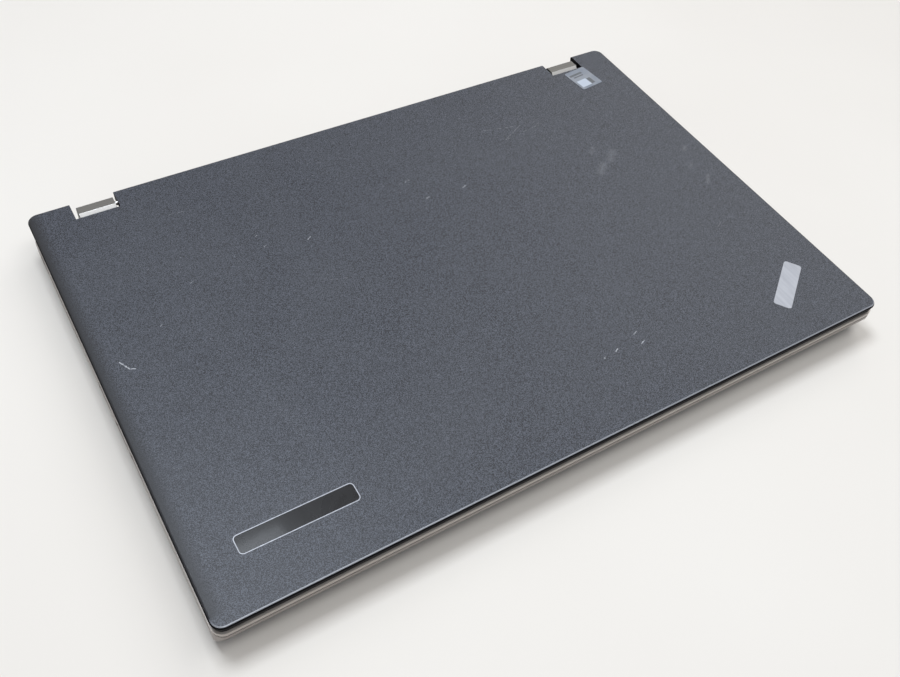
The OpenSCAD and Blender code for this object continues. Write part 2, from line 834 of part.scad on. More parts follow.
module palm_rest() {
    color(black) difference() {
        union() {
            difference() {
                translate([0, 0, taper_top]) linear_extrude(deck_top - taper_top) base_outline(skirt_in);
                difference() {
                    translate([0, 0, taper_top - cut]) linear_extrude(deck_under - taper_top + cut)
                        base_outline(inner_in);
                    cove(deck_t);
                }
            }
            screw_places() post(0, 0, floor_z + boss_pad_h, deck_under + fit, boss_r);
            both_sides() for (y = knuckle_screws)
                post((knuckle_x0 + knuckle_x1) / 2, pocket_y - y, knuckle_foot_z + knuckle_foot_t,
                     deck_under + fit, foot_boss_r);
        }
        front_stretch(fit);
        cove();
        knuckle_pockets();
        port_cuts();
        speaker_slots();
        translate([0, keyboard_y + keyboard_d / 2, deck_top])
            cube([keyboard_w, keyboard_d, 3 * deck_t], center = true);
        translate([stick_x, (pad_y0 + pad_y1) / 2, deck_top])
            cube([pad_w + 2 * moving, pad_d + 2 * moving, 3 * deck_t], center = true);
        translate([stick_x, button_y0 + button_d / 2, deck_top])
            cube([pad_w + 2 * moving, button_d + 2 * moving, 3 * deck_t], center = true);
        post(power_x, power_y, deck_under - cut, deck_top + cut, power_r + moving);
        screw_places() post(0, 0, floor_z, floor_z + boss_pad_h + screw_len + 0.5, screw_r + fit / 2);
        both_sides() for (y = knuckle_screws)
            post((knuckle_x0 + knuckle_x1) / 2, pocket_y - y, knuckle_foot_z, deck_under, screw_r + fit / 2);
    }
}

module rubber_feet() {
    color("dimgray") {
        for (x = [-1, 0, 1])
            translate([x * (half_w - 40), front_y + 22, 0]) linear_extrude(foot_h) rounded(34, 9, 3);
        for (x = [-1, 1])
            translate([x * (half_w - 45), hinge_y - 17, 0]) linear_extrude(foot_h) rounded(52, 9, 3);
    }
}

module base_screws() {
    color("silver") {
        screw_places() {
            post(0, 0, foot_h + fit, foot_h + fit + head_h, head_r);
            post(0, 0, foot_h + fit, floor_z + boss_pad_h + screw_len, screw_r);
        }
        both_sides() for (y = knuckle_screws) {
            post((knuckle_x0 + knuckle_x1) / 2, pocket_y - y, knuckle_foot_z - 1, knuckle_foot_z, 2);
            post((knuckle_x0 + knuckle_x1) / 2, pocket_y - y, knuckle_foot_z - 1, deck_under - 0.2, screw_r);
        }
    }
}

// ==== keyboard ====

// Sum of the first n widths of a row.
function before(row, n) = n == 0 ? 0 : row[n - 1] + before(row, n - 1);

// Key at column u, units wide, on the row whose front edge is at y0 and which is d deep.
module key(u, units, y0, d, slack = 0) {
    w = units * key_pitch - key_gap + 2 * slack;
    translate([keyboard_x + (u + units / 2) * key_pitch, y0 + d / 2])
        polygon(cut_corners(w, d - key_gap + 2 * slack, key_corner + slack / 2));
}

function row_y(i) = keyboard_y + i * row_pitch;

module row_keys(row, i, slack = 0) {
    for (k = [0 : len(row) - 1]) key(before(row, k), row[k], row_y(i), row_pitch, slack);
}

module function_plan(slack = 0) {
    for (k = [0 : function_count - 1])
        key(before(function_row, k), function_row[k], row_y(5), function_pitch, slack);
}

module modifier_plan(slack = 0) {
    for (u = modifier_u) key(u, 1, row_y(0), row_pitch, slack);
}

// The arrows are less than half as deep as the other keys: three in front and three behind.
arrow_gap = 1.8;
arrow_d = (row_pitch - key_gap - arrow_gap) / 2 + key_gap;

module arrow_plan(slack = 0) {
    for (k = [0 : 2], back = [0, 1])
        key(arrow_u + k, 1, row_y(0) + back * (row_pitch - arrow_d), arrow_d, slack);
}

// The stick passes between three keys, whose corners are cut away round it.
module stick_hole(z0, z1) {
    translate([stick_x, stick_y, z0]) cylinder(r = stick_r + 1, h = z1 - z0, $fn = 8);
}

module caps() {
    color([0.03, 0.03, 0.033]) difference() {
        translate([0, 0, key_z]) linear_extrude(key_h) children();
        stick_hole(key_z - cut, key_top + cut);
    }
}

module function_keys() { caps() function_plan(); }
module number_keys() { caps() row_keys(number_row, 4); }
module upper_letter_keys() { caps() row_keys(upper_row, 3); }
module home_letter_keys() { caps() row_keys(home_row, 2); }
module lower_letter_keys() { caps() row_keys(lower_row, 1); }
module modifier_keys() { caps() modifier_plan(); }
module arrow_keys() { caps() arrow_plan(); }
module space_bar() { caps() key(space_u, space_units, row_y(0), row_pitch); }
module enter_key() { caps() key(enter_u, key_columns - enter_u, row_y(2), row_pitch); }

module keyboard_bezel() {
    color([0.025, 0.025, 0.028]) translate([0, 0, frame_z]) linear_extrude(frame_t) difference() {
        translate([0, keyboard_y + keyboard_d / 2])
            square([keyboard_w + 2 * keyboard_rim, keyboard_d + 2 * keyboard_rim], center = true);
        function_plan(key_slip);
        row_keys(number_row, 4, key_slip);
        row_keys(upper_row, 3, key_slip);
        row_keys(home_row, 2, key_slip);
        row_keys(lower_row, 1, key_slip);
        modifier_plan(key_slip);
        arrow_plan(key_slip);
        key(space_u, space_units, row_y(0), row_pitch, key_slip);
        key(enter_u, key_columns - enter_u, row_y(2), row_pitch, key_slip);
        translate([stick_x, stick_y]) circle(r = stick_r - 1, $fn = 8);
    }
}

// The keyboard's metal tray, with a shelf in front of it that carries the stick's buttons.
button_travel = 0.8;
shelf_top = frame_z - fit;
shelf_t = 0.8;

module keyboard_plate() {
    outer_w = keyboard_w + 2 * keyboard_rim;
    outer_d = keyboard_d + 2 * keyboard_rim;
    color("gray") {
        translate([0, keyboard_y + keyboard_d / 2, plate_top - plate_t]) difference() {
            translate([-outer_w / 2, -outer_d / 2, 0])
                cube([outer_w, outer_d, frame_z - plate_top + plate_t]);
            translate([tray_wall - outer_w / 2, tray_wall - outer_d / 2, plate_t])
                cube([outer_w - 2 * tray_wall, outer_d - 2 * tray_wall, 2 * key_h]);
        }
        block([stick_x - pad_w / 2, button_y0 + 1, shelf_top - shelf_t],
              [stick_x + pad_w / 2, keyboard_y - keyboard_rim + tray_wall / 2, shelf_top]);
    }
}

// Middles of all the keys, for the rubber domes under them.
function row_middles(row, i) = [for (k = [0 : len(row) - 1])
    [keyboard_x + (before(row, k) + row[k] / 2) * key_pitch, row_y(i) + row_pitch / 2]];
function key_middles() = concat(
    [for (k = [0 : function_count - 1])
        [keyboard_x + (before(function_row, k) + function_row[k] / 2) * key_pitch,
         row_y(5) + function_pitch / 2]],
    row_middles(number_row, 4), row_middles(upper_row, 3),
    row_middles(home_row, 2), row_middles(lower_row, 1),
    [for (u = modifier_u) [keyboard_x + (u + 0.5) * key_pitch, row_y(0) + row_pitch / 2]],
    [for (k = [0 : 2], s = [0.25, 0.75])
        [keyboard_x + (arrow_u + k + 0.5) * key_pitch,
         row_y(0) + (s < 0.5 ? arrow_d / 2 : row_pitch - arrow_d / 2)]],
    [[keyboard_x + (space_u + space_units / 2) * key_pitch, row_y(0) + row_pitch / 2],
     [keyboard_x + (enter_u + key_columns) / 2 * key_pitch, row_y(2) + row_pitch / 2]]
);

dome_r = 2.6;
dome_tip_r = 1.5;
dome_gap = 0.2;

module key_domes() {
    color("lightgray") for (p = key_middles())
        translate([p[0], p[1], plate_top])
            cylinder(r1 = dome_r, r2 = dome_tip_r, h = key_z - plate_top - dome_gap);
}

module pointing_stick() {
    color([0.2, 0.21, 0.23]) {
        post(stick_x, stick_y, plate_top, plate_top + 0.6, 2);
        post(stick_x, stick_y, plate_top, deck_top, 1.2);
        post(stick_x, stick_y, deck_under + slip, deck_top + 0.2, stick_r);
    }
}

// ==== touchpad and buttons ====

module touchpad() {
    top = deck_top - 0.2;
    color([0.05, 0.05, 0.055]) {
        block([stick_x - pad_w / 2, pad_y0, top - pad_t], [stick_x + pad_w / 2, pad_y1, top]);
    }
}

module button(x0, x1) {
    top = deck_top + button_proud;
    color([0.05, 0.05, 0.055])
        block([x0, button_y0, top - button_t], [x1, button_y0 + button_d, top]);
}

module left_button() { button(stick_x - pad_w / 2, stick_x - pad_w / 2 + side_button_w); }
module right_button() { button(stick_x + pad_w / 2 - side_button_w, stick_x + pad_w / 2); }
module middle_button() { button(stick_x - middle_w / 2, stick_x + middle_w / 2); }

module power_button() {
    color("dimgray") post(power_x, power_y, deck_under + 0.1, deck_top + 0.1, power_r);
}

// ==== electronics ====

module mainboard() {
    left = -half_w + 5.5;
    right = half_w - 5.5;
    fan_side = fan_x + fan_half + 6;
    battery_side = battery_x1 - battery_w - 4.6;
    drive_side = drive_x0 - 4;
    drive_end = drive_y0 + drive_d + 4;
    usb_front = usb_left[0] - usb_w / 2 - 2.8;
    network_front = network_y - network_w / 2 - 5;
    bay = boss_mid + boss_r + 1;
    color("darkgreen") translate([0, 0, board_z]) linear_extrude(board_t) difference() {
        polygon([
            [left, usb_front], [battery_side, usb_front], [battery_side, board_front],
            [drive_side, board_front], [drive_side, drive_end], [right, drive_end],
            [right, network_front], [right - 21, network_front],
            [right - 21, board_back - 12], [bay, board_back - 12], [bay, board_back - 6],
            [fan_side, board_back - 6], [fan_side, fan_y - fan_half - 2], [left, fan_y - fan_half - 2]
        ]);
        for (p = screws) translate(p) circle(boss_r + 0.6);
    }
}

// Chips and connectors on the board: distance from the processor, width, depth, height.
chips = [
    [-44, -24, 14, 14, 1.2], [-22, -30, 10, 8, 1], [36, 14, 12, 12, 1.2], [66, -12, 10, 10, 1],
    [-74, -22, 9, 9, 1], [30, -27, 7, 7, 1], [48, -26, 20, 6, 2.2], [-14, 35, 8, 8, 1],
    [-4, 50, 16, 6, 1.8], [-36, 26, 9, 9, 1]
];
// Chips on the board's right-hand wing: distance from the drive's corner, width, depth, height.
wing_chips = [[22, 16, 11, 11, 1.2], [4, 12, 6, 9, 1.4], [44, 18, 9, 9, 1], [40, 34, 8, 5, 1.6]];

module board_chips() {
    color([0.05, 0.05, 0.05]) {
        for (c = chips) translate([cpu_x, cpu_y, 0])
            block([c[0], c[1], board_top], [c[0] + c[2], c[1] + c[3], board_top + c[4]]);
        for (c = wing_chips) translate([drive_x0, drive_y0 + drive_d, 0])
            block([c[0], c[1], board_top], [c[0] + c[2], c[1] + c[3], board_top + c[4]]);
    }
}

module processor() {
    color("darkslategray") {
        block([cpu_x - cpu_size / 2, cpu_y - cpu_size / 2, board_top],
              [cpu_x + cpu_size / 2, cpu_y + cpu_size / 2, board_top + chip_h / 2]);
        block([cpu_x - cpu_size / 4, cpu_y - cpu_size / 4, board_top],
              [cpu_x + cpu_size / 4, cpu_y + cpu_size / 4, pipe_z]);
    }
}

module heat_pipe() {
    fin_mid = (fin_x0 + fin_x1) / 2;
    color("peru") translate([0, 0, pipe_z]) linear_extrude(pipe_t) {
        translate([cpu_x - spreader / 2, cpu_y - spreader / 2]) square([spreader, spreader]);
        translate([fin_mid, pipe_y - pipe_w / 2]) square([cpu_x - fin_mid, pipe_w]);
        translate([fin_mid, pipe_y]) circle(pipe_w / 2);
        translate([fin_mid - pipe_w / 2, pipe_y]) square([pipe_w, fin_y0 + fin_d - 4 - pipe_y]);
        translate([fin_mid, fin_y0 + fin_d - 4]) circle(pipe_w / 2);
    }
}

fan_plate = 0.8;
spindle_r = 1.2;
spindle_top = floor_z + fan_h - 2;

module fan_housing() {
    color([0.08, 0.08, 0.085]) {
        difference() {
            block([fan_x - fan_half, fan_y - fan_half, floor_z],
                  [fan_x + fan_half, fan_y + fan_half, floor_z + fan_h]);
            post(fan_x, fan_y, floor_z + fan_plate, floor_z + fan_h - fan_plate, fan_r + 1.2);
            block([fan_x - fan_half - cut, fin_y0 + 2, floor_z + fan_plate],
                  [fan_x - fan_r / 2, fin_y0 + fin_d - 2, floor_z + fan_h - fan_plate]);
            post(fan_x, fan_y, floor_z + fan_h / 2, floor_z + fan_h + cut, fan_r * 0.62);
            for (a = [0 : 120 : 240]) rotate_about(fan_x, fan_y, a + 30)
                block([-4, fan_r * 0.4, floor_z - cut], [4, fan_r * 0.75, floor_z + fan_h / 2]);
        }
        post(fan_x, fan_y, floor_z, spindle_top, spindle_r);
    }
}

// Places something at a point and turns it there.
module rotate_about(x, y, angle) {
    translate([x, y, 0]) rotate(angle) children();
}

module fan_rotor() {
    low = floor_z + fan_plate + 0.6;
    high = floor_z + fan_h - fan_plate - 0.6;
    hub_r = fan_r * 0.36;
    color("dimgray") translate([fan_x, fan_y, low]) difference() {
        linear_extrude(high - low) {
            circle(hub_r);
            for (i = [0 : fan_blades - 1]) rotate(i * 360 / fan_blades)
                translate([hub_r - 0.6, 0]) rotate(-22) square([fan_r - hub_r - 1.5, 0.8]);
        }
        translate([0, 0, -cut]) cylinder(r = spindle_r + pin_slip, h = spindle_top + fit - low + cut);
    }
}

module exhaust_fins() {
    fin_t = 0.5;
    step = (fin_d - fin_t) / (fin_count - 1);
    color("peru") {
        block([fin_x0, fin_y0, pipe_z - 0.5], [fin_x1, fin_y0 + fin_d, pipe_z]);
        block([fin_x0 + 3, fin_y0, floor_z], [fin_x1, fin_y0 + fin_d, floor_z + 0.5]);
        for (i = [0 : fin_count - 1])
            block([fin_x0 + 3, fin_y0 + i * step, floor_z], [fin_x1, fin_y0 + i * step + fin_t, pipe_z]);
    }
}

module memory_module() {
    x = memory_at[0];
    y = memory_at[1];
    color("darkgreen") {
        block([x, y, board_top + 1], [x + 67.6, y + 30, board_top + 2]);
        for (i = [0 : 3])
            block([x + 5 + i * 15.5, y + 12, board_top + 2], [x + 16 + i * 15.5, y + 24, board_top + 3]);
    }
    color("dimgray") {
        block([x - 2, y - 4, board_top], [x + 69.6, y, board_top + 3.1]);
        for (side = [x - 2, x + 67.7]) block([side, y, board_top], [side + 1.9, y + 30, board_top + 2.4]);
    }
}

module wireless_card() {
    x = memory_at[0] + 78;
    y = memory_at[1] - 5;
    color("darkgreen") block([x, y, board_top + 1], [x + 22, y + 30, board_top + 1.8]);
    color("silver") block([x + 2, y + 5, board_top + 1.8], [x + 20, y + 24, board_top + 3]);
    color("dimgray") block([x - 1, y - 4, board_top], [x + 23, y, board_top + 3]);
    color("silver") block([x + 9, y + 27, board_top], [x + 13, y + 30, board_top + 1]);
}

module storage_drive() {
    color("gainsboro") {
        block([drive_x0, drive_y0, floor_z], [drive_x1, drive_y0 + drive_d, floor_z + pack_h]);
        block([drive_x0 + 12, drive_y0 + drive_d, floor_z + 1],
              [drive_x1 - 14, drive_y0 + drive_d + 3, floor_z + 3]);
    }
}

module battery_pack() {
    x0 = battery_x1 - battery_w;
    cell_gap = 1;
    cell_w = (battery_w - 4 * cell_gap) / 3;
    color([0.07, 0.07, 0.075]) {
        block([x0, battery_y0, floor_z], [battery_x1, battery_y0 + battery_d, floor_z + pack_h - 0.6]);
        for (i = [0 : 2]) translate([x0 + cell_gap + i * (cell_w + cell_gap), battery_y0 + cell_gap, 0])
            block([0, 0, floor_z + pack_h - 0.6], [cell_w, battery_d - 7, floor_z + pack_h]);
    }
}

module coin_cell() {
    color("silver") post(cpu_x + 40, cpu_y, board_top, board_top + 2, 8);
}

module speakers() {
    color([0.06, 0.06, 0.06]) for (side = [-1, 1])
        translate([side * speaker_x, speaker_y, deck_under - speaker_h])
            linear_extrude(speaker_h) rounded(speaker_w, speaker_d, 2);
}

// ==== ports ====

// A metal socket shell that opens outwards, on the side given by -1 or 1.
module socket(side, y, w, z, h, deep, wall) {
    outer = half_w - port_face;
    translate([side * (outer - deep / 2), y, z + h / 2]) difference() {
        cube([deep, w, h], center = true);
        translate([side * wall * 2, 0, 0]) cube([deep, w - 2 * wall, h - 2 * wall], center = true);
    }
}

// The flat tongue inside a socket.
module tongue(side, y, w, z, t, deep, inset) {
    outer = half_w - port_face - inset;
    translate([side * (outer - (deep - inset) / 2), y, z + t / 2]) cube([deep - inset, w, t], center = true);
}

module usb_port(side, y) {
    socket(side, y, usb_w, board_top, usb_h, usb_deep, usb_wall);
    tongue(side, y, usb_w - 3.4, board_top + usb_h - 2.9, 1.9, usb_deep, 2);
}

module usb_ports() {
    color("silver") {
        for (y = usb_left) usb_port(-1, y);
        for (y = usb_right) usb_port(1, y);
    }
}

module video_port() {
    color("silver") {
        socket(-1, video_y, video_w, board_top, video_h, 13, usb_wall);
        tongue(-1, video_y, video_w - 4, board_top + video_h / 2 - 0.6, 1.2, 13, 2);
    }
}

module power_jack() {
    color([0.04, 0.04, 0.04]) {
        socket(-1, power_jack_y, power_jack_w, board_top, power_jack_h, 18, 0.9);
        block([-half_w + 13, power_jack_y - 5, floor_z], [-half_w + 18, power_jack_y + 5, board_top]);
        tongue(-1, power_jack_y, power_jack_w - 7, board_top + power_jack_h / 2 - 0.6, 1.2, 18, 2);
    }
}

module network_port() {
    outer = half_w - port_face;
    w = network_w + 2 * network_wall;
    color([0.05, 0.05, 0.05]) difference() {
        union() {
            block([outer - network_deep - 5, network_y - w / 2, network_z - network_lip],
                  [outer, network_y + w / 2, network_z + network_h + network_lip]);
            block([outer - network_deep - 5, network_y - w / 2, floor_z],
                  [outer - network_deep, network_y + w / 2, network_z]);
        }
        block([outer - network_deep, network_y - network_w / 2, network_z],
              [outer + cut, network_y + network_w / 2, network_z + network_h]);
    }
}

module audio_jack() {
    outer = half_w - port_face;
    color([0.05, 0.05, 0.05]) difference() {
        block([outer - audio_deep - 2, audio_y - audio_w / 2, board_top],
              [outer, audio_y + audio_w / 2, board_top + audio_h]);
        rod_x(outer - audio_deep, outer + cut, audio_y, audio_z, audio_r);
    }
}

module card_reader() {
    outer = half_w - port_face;
    slot_z = board_top + (card_h - card_slot) / 2;
    color("silver") difference() {
        union() {
            block([outer - 25, card_y - card_w / 2, board_top],
                  [outer, card_y + card_w / 2, board_top + card_h]);
            block([outer - 24, card_y - card_w / 2 + 1, floor_z],
                  [outer - 10, card_y + card_w / 2 - 1, board_top]);
        }
        block([outer - 22, card_y - card_w / 2 + 0.7, slot_z],
              [outer + cut, card_y + card_w / 2 - 0.7, slot_z + card_slot]);
    }
}

// ==== one node at a time, or all of them ====

lid_cover();
screen_bezel();
display_glass();
display_frame();
display_board();
webcam_module();
lid_antennas();
hinge_arm_left();
hinge_arm_right();
lid_screws();
lid_bumpers();
front_badge();
corner_badge();
lid_label();
display_cable_lid();
bottom_cover();
edge_band();
palm_rest();
keyboard_plate();
keyboard_bezel();
key_domes();
function_keys();
number_keys();
upper_letter_keys();
home_letter_keys();
lower_letter_keys();
modifier_keys();
arrow_keys();
space_bar();
enter_key();
pointing_stick();
touchpad();
left_button();
middle_button();
right_button();
power_button();
mainboard();
board_chips();
processor();
heat_pipe();
fan_housing();
fan_rotor();
exhaust_fins();
memory_module();
wireless_card();
storage_drive();
battery_pack();
coin_cell();
speakers();
power_jack();
usb_ports();
video_port();
network_port();
audio_jack();
card_reader();
hinge_knuckle_left();
hinge_knuckle_right();
display_cable_base();
rubber_feet();
base_screws();
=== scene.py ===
"""A closed laptop computer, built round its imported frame: finishes for every node, and finer meshes for the
pieces seen from outside or when the lid is open."""
import json
import math

import bmesh
import bpy
from mathutils import Matrix, Vector
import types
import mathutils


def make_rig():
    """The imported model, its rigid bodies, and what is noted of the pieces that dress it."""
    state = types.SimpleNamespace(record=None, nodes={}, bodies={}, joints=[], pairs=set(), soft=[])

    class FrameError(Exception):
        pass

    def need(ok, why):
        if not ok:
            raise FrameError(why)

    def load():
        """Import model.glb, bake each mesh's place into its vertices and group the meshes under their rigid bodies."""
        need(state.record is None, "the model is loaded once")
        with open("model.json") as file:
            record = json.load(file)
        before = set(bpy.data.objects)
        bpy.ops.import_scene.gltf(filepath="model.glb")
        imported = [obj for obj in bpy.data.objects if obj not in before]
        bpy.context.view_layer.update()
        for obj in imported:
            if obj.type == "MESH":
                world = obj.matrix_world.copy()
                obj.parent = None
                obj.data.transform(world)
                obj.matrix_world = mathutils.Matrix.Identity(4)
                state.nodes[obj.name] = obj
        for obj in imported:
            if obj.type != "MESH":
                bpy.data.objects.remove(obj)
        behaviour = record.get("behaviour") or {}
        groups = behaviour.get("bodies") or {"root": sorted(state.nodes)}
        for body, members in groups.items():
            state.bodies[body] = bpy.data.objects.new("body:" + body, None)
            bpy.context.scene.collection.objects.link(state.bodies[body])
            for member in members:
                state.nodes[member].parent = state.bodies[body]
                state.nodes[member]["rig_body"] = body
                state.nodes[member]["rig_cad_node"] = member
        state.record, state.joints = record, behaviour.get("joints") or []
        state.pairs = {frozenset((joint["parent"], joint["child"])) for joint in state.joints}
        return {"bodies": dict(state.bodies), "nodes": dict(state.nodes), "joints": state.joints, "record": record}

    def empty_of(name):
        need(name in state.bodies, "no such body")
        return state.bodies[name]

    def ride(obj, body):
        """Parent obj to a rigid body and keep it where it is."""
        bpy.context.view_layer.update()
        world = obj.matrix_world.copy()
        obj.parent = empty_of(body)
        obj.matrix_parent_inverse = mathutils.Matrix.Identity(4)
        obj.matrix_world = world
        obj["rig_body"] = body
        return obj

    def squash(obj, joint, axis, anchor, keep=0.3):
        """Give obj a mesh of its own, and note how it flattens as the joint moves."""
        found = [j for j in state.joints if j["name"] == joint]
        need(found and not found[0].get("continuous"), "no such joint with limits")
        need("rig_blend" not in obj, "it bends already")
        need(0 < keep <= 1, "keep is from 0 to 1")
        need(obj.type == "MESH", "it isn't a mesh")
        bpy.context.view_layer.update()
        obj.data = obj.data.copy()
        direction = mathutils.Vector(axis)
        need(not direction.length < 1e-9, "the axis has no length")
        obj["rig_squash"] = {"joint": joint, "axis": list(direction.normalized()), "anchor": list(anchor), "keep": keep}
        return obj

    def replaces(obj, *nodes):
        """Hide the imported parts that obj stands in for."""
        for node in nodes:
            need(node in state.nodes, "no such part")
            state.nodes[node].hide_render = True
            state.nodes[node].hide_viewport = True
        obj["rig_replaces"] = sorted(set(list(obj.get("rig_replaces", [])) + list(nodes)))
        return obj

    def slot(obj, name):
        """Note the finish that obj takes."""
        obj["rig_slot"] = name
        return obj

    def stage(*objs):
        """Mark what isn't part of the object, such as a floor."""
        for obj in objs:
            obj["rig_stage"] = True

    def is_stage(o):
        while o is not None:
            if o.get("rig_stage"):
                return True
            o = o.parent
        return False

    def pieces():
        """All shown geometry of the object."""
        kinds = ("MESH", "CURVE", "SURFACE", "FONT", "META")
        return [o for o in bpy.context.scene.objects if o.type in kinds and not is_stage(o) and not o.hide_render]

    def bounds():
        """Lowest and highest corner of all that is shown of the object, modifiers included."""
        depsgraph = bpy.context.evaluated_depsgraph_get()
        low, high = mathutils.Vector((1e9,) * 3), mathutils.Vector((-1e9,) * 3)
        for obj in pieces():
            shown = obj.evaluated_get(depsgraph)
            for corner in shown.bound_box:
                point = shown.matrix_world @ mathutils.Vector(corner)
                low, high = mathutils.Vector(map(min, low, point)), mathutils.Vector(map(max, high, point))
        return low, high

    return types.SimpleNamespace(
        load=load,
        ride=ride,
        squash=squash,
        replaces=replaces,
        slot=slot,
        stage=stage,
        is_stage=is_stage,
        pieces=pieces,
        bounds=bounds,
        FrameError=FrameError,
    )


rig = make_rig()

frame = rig.load()
cad_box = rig.bounds()
nodes = frame["nodes"]
scene = bpy.context.scene
MM = 0.001

# Sizes shared by the pieces, in millimetres, as in the laptop's own source.
BODY_W, BODY_D = 339.0, 230.0
HALF_W, FRONT_Y = BODY_W / 2, -BODY_D / 2
LID_TOP = 21.0
PORT_X = HALF_W - 0.3
KEY_DISH = 0.22

# Where the lid's and the base's paint changes, and where the lid's painted highlight and painted shade lie, in metres.
LEFT, FRONT = -HALF_W * MM, FRONT_Y * MM
RIM_HIGH, RIM_LOW, LID_SIDE_TOP = 0.02099, 0.02094, 0.0207
GROOVE_LOW, GROOVE_HIGH, BAND_FOOT = 0.01337, 0.01393, 0.0061

# Corners of a source mesh that lie closer than this, in metres, are one corner.
MERGE = 0.000002

# Colour of the room and of the far floor, as the camera and mirrored or transmitted rays see them.
PALE_ROOM = (0.80, 0.76, 0.71, 1)


# ---- camera, floor and lamps

def place_camera():
    data = bpy.data.cameras.new("camera")
    data.sensor_width = 36
    data.lens = 37.63
    data.clip_start = 0.01
    camera = bpy.data.objects.new("camera", data)
    scene.collection.objects.link(camera)
    right = (0.85383, -0.51323, 0.08700)
    up = (0.35182, 0.69213, 0.63023)
    back = (-0.38366, -0.50750, 0.77152)
    turn = Matrix((right, up, back)).transposed().to_4x4()
    camera.matrix_world = Matrix.Translation((-0.18861, -0.25121, 0.34333)) @ turn
    scene.camera = camera


def softbox(name, place, aim, size, power, colour):
    """A rectangular lamp aimed at a point."""
    data = bpy.data.lights.new(name, "AREA")
    data.shape = "RECTANGLE"
    data.size, data.size_y = size
    data.energy = power
    data.color = colour
    lamp = bpy.data.objects.new(name, data)
    scene.collection.objects.link(lamp)
    lamp.location = place
    lamp.rotation_euler = (Vector(aim) - Vector(place)).to_track_quat("-Z", "Y").to_euler()


def seen_rays(tree):
    """1 for rays that show a surface to the eye, straight, mirrored or through glass, and else 0."""
    path = tree.nodes.new("ShaderNodeLightPath")
    seen = math_node(tree, "MAXIMUM", path.outputs["Is Camera Ray"], path.outputs["Is Glossy Ray"])
    return math_node(tree, "MAXIMUM", seen, path.outputs["Is Transmission Ray"])


def blend(tree, share, shader_a, shader_b, output):
    """Mixes two shaders and links the result to the named output node."""
    mix = tree.nodes.new("ShaderNodeMixShader")
    for slot, value in enumerate((share, shader_a.outputs[0], shader_b.outputs[0])):
        tree.links.new(value, mix.inputs[slot])
    tree.links.new(mix.outputs[0], tree.nodes[output].inputs[0])


def light_studio():
    scene.view_settings.view_transform = "Standard"
    world = bpy.data.worlds.new("room")
    scene.world = world
    world.use_nodes = True
    tree = world.node_tree
    background = tree.nodes["Background"]
    background.inputs["Color"].default_value = (0.86, 0.90, 1.0, 1)
    background.inputs["Strength"].default_value = 0.33
    pale = new_node(tree, "ShaderNodeBackground", Color=PALE_ROOM)
    blend(tree, seen_rays(tree), background, pale, "World Output")
    daylight, sky = (0.97, 0.985, 1.0), (0.84, 0.91, 1.0)
    softbox("window", (1.18, 0.62, 1.3), (0.1, 0, 0), (1.3, 1.0), 8.2, daylight)
    softbox("overhead", (0.12, -0.45, 1.5), (0, -0.1, 0), (1.6, 0.6), 10.4, daylight)
    softbox("corner_glow", (-0.16, 0.32, 1.3), (-0.14, -0.1, 0), (0.5, 0.42), 12.0, sky)


def lay_floor():
    clear_selection()
    bpy.ops.mesh.primitive_plane_add(size=9, location=(0, 0, 0))
    floor = bpy.context.object
    floor.name = "floor"
    floor.data.materials.append(floor_finish())
    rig.stage(floor)


# ---- shader building blocks

def group_start(name, sockets_in, sockets_out):
    """A node group with its inner ends. Inputs are (name, default), where None makes a vector."""
    group = bpy.data.node_groups.new(name, "ShaderNodeTree")
    for label, value in sockets_in:
        kind = "NodeSocketVector" if value is None else "NodeSocketFloat"
        socket = group.interface.new_socket(label, in_out="INPUT", socket_type=kind)
        if value is not None:
            socket.default_value = value
    for label in sockets_out:
        group.interface.new_socket(label, in_out="OUTPUT", socket_type="NodeSocketFloat")
    return group, group.nodes.new("NodeGroupInput").outputs, group.nodes.new("NodeGroupOutput").inputs


def new_node(tree, kind, **inputs):
    """A node with constants set on some of its inputs, whose names have _ for a space."""
    node = tree.nodes.new(kind)
    for label, value in inputs.items():
        node.inputs[label.replace("_", " ")].default_value = value
    return node


def math_node(tree, operation, a, b=None, clamp=False):
    node = tree.nodes.new("ShaderNodeMath")
    node.operation = operation
    node.use_clamp = clamp
    for slot, value in ((0, a), (1, b)):
        if value is None:
            continue
        if isinstance(value, (int, float)):
            node.inputs[slot].default_value = value
        else:
            tree.links.new(value, node.inputs[slot])
    return node.outputs[0]


def times(tree, a, b, clamp=False):
    return math_node(tree, "MULTIPLY", a, b, clamp)


def vector_node(tree, operation, a, b=None, out=0):
    node = tree.nodes.new("ShaderNodeVectorMath")
    node.operation = operation
    for slot, value in ((0, a), (1, b)):
        if value is None:
            continue
        if isinstance(value, (tuple, list)):
            node.inputs[slot].default_value = value
        else:
            tree.links.new(value, node.inputs[slot])
    return node.outputs[out]


def noise_node(tree, vector, scale, detail=2.0, roughness=0.5, distortion=0.0):
    node = new_node(tree, "ShaderNodeTexNoise", Detail=detail, Roughness=roughness, Distortion=distortion)
    tree.links.new(vector, node.inputs["Vector"])
    if isinstance(scale, (int, float)):
        node.inputs["Scale"].default_value = scale
    else:
        tree.links.new(scale, node.inputs["Scale"])
    return node.outputs["Fac"]


def range_node(tree, value, low, high, to_low=0.0, to_high=1.0):
    node = new_node(tree, "ShaderNodeMapRange", From_Min=low, From_Max=high, To_Min=to_low, To_Max=to_high)
    tree.links.new(value, node.inputs["Value"])
    return node.outputs["Result"]


def mix_colour(tree, factor, a, b):
    node = tree.nodes.new("ShaderNodeMix")
    node.data_type = "RGBA"
    for slot, value in ((0, factor), (6, a), (7, b)):
        if isinstance(value, (int, float)):
            node.inputs[slot].default_value = value
        elif isinstance(value, (tuple, list)):
            node.inputs[slot].default_value = (*value, 1)
        else:
            tree.links.new(value, node.inputs[slot])
    return node.outputs[2]


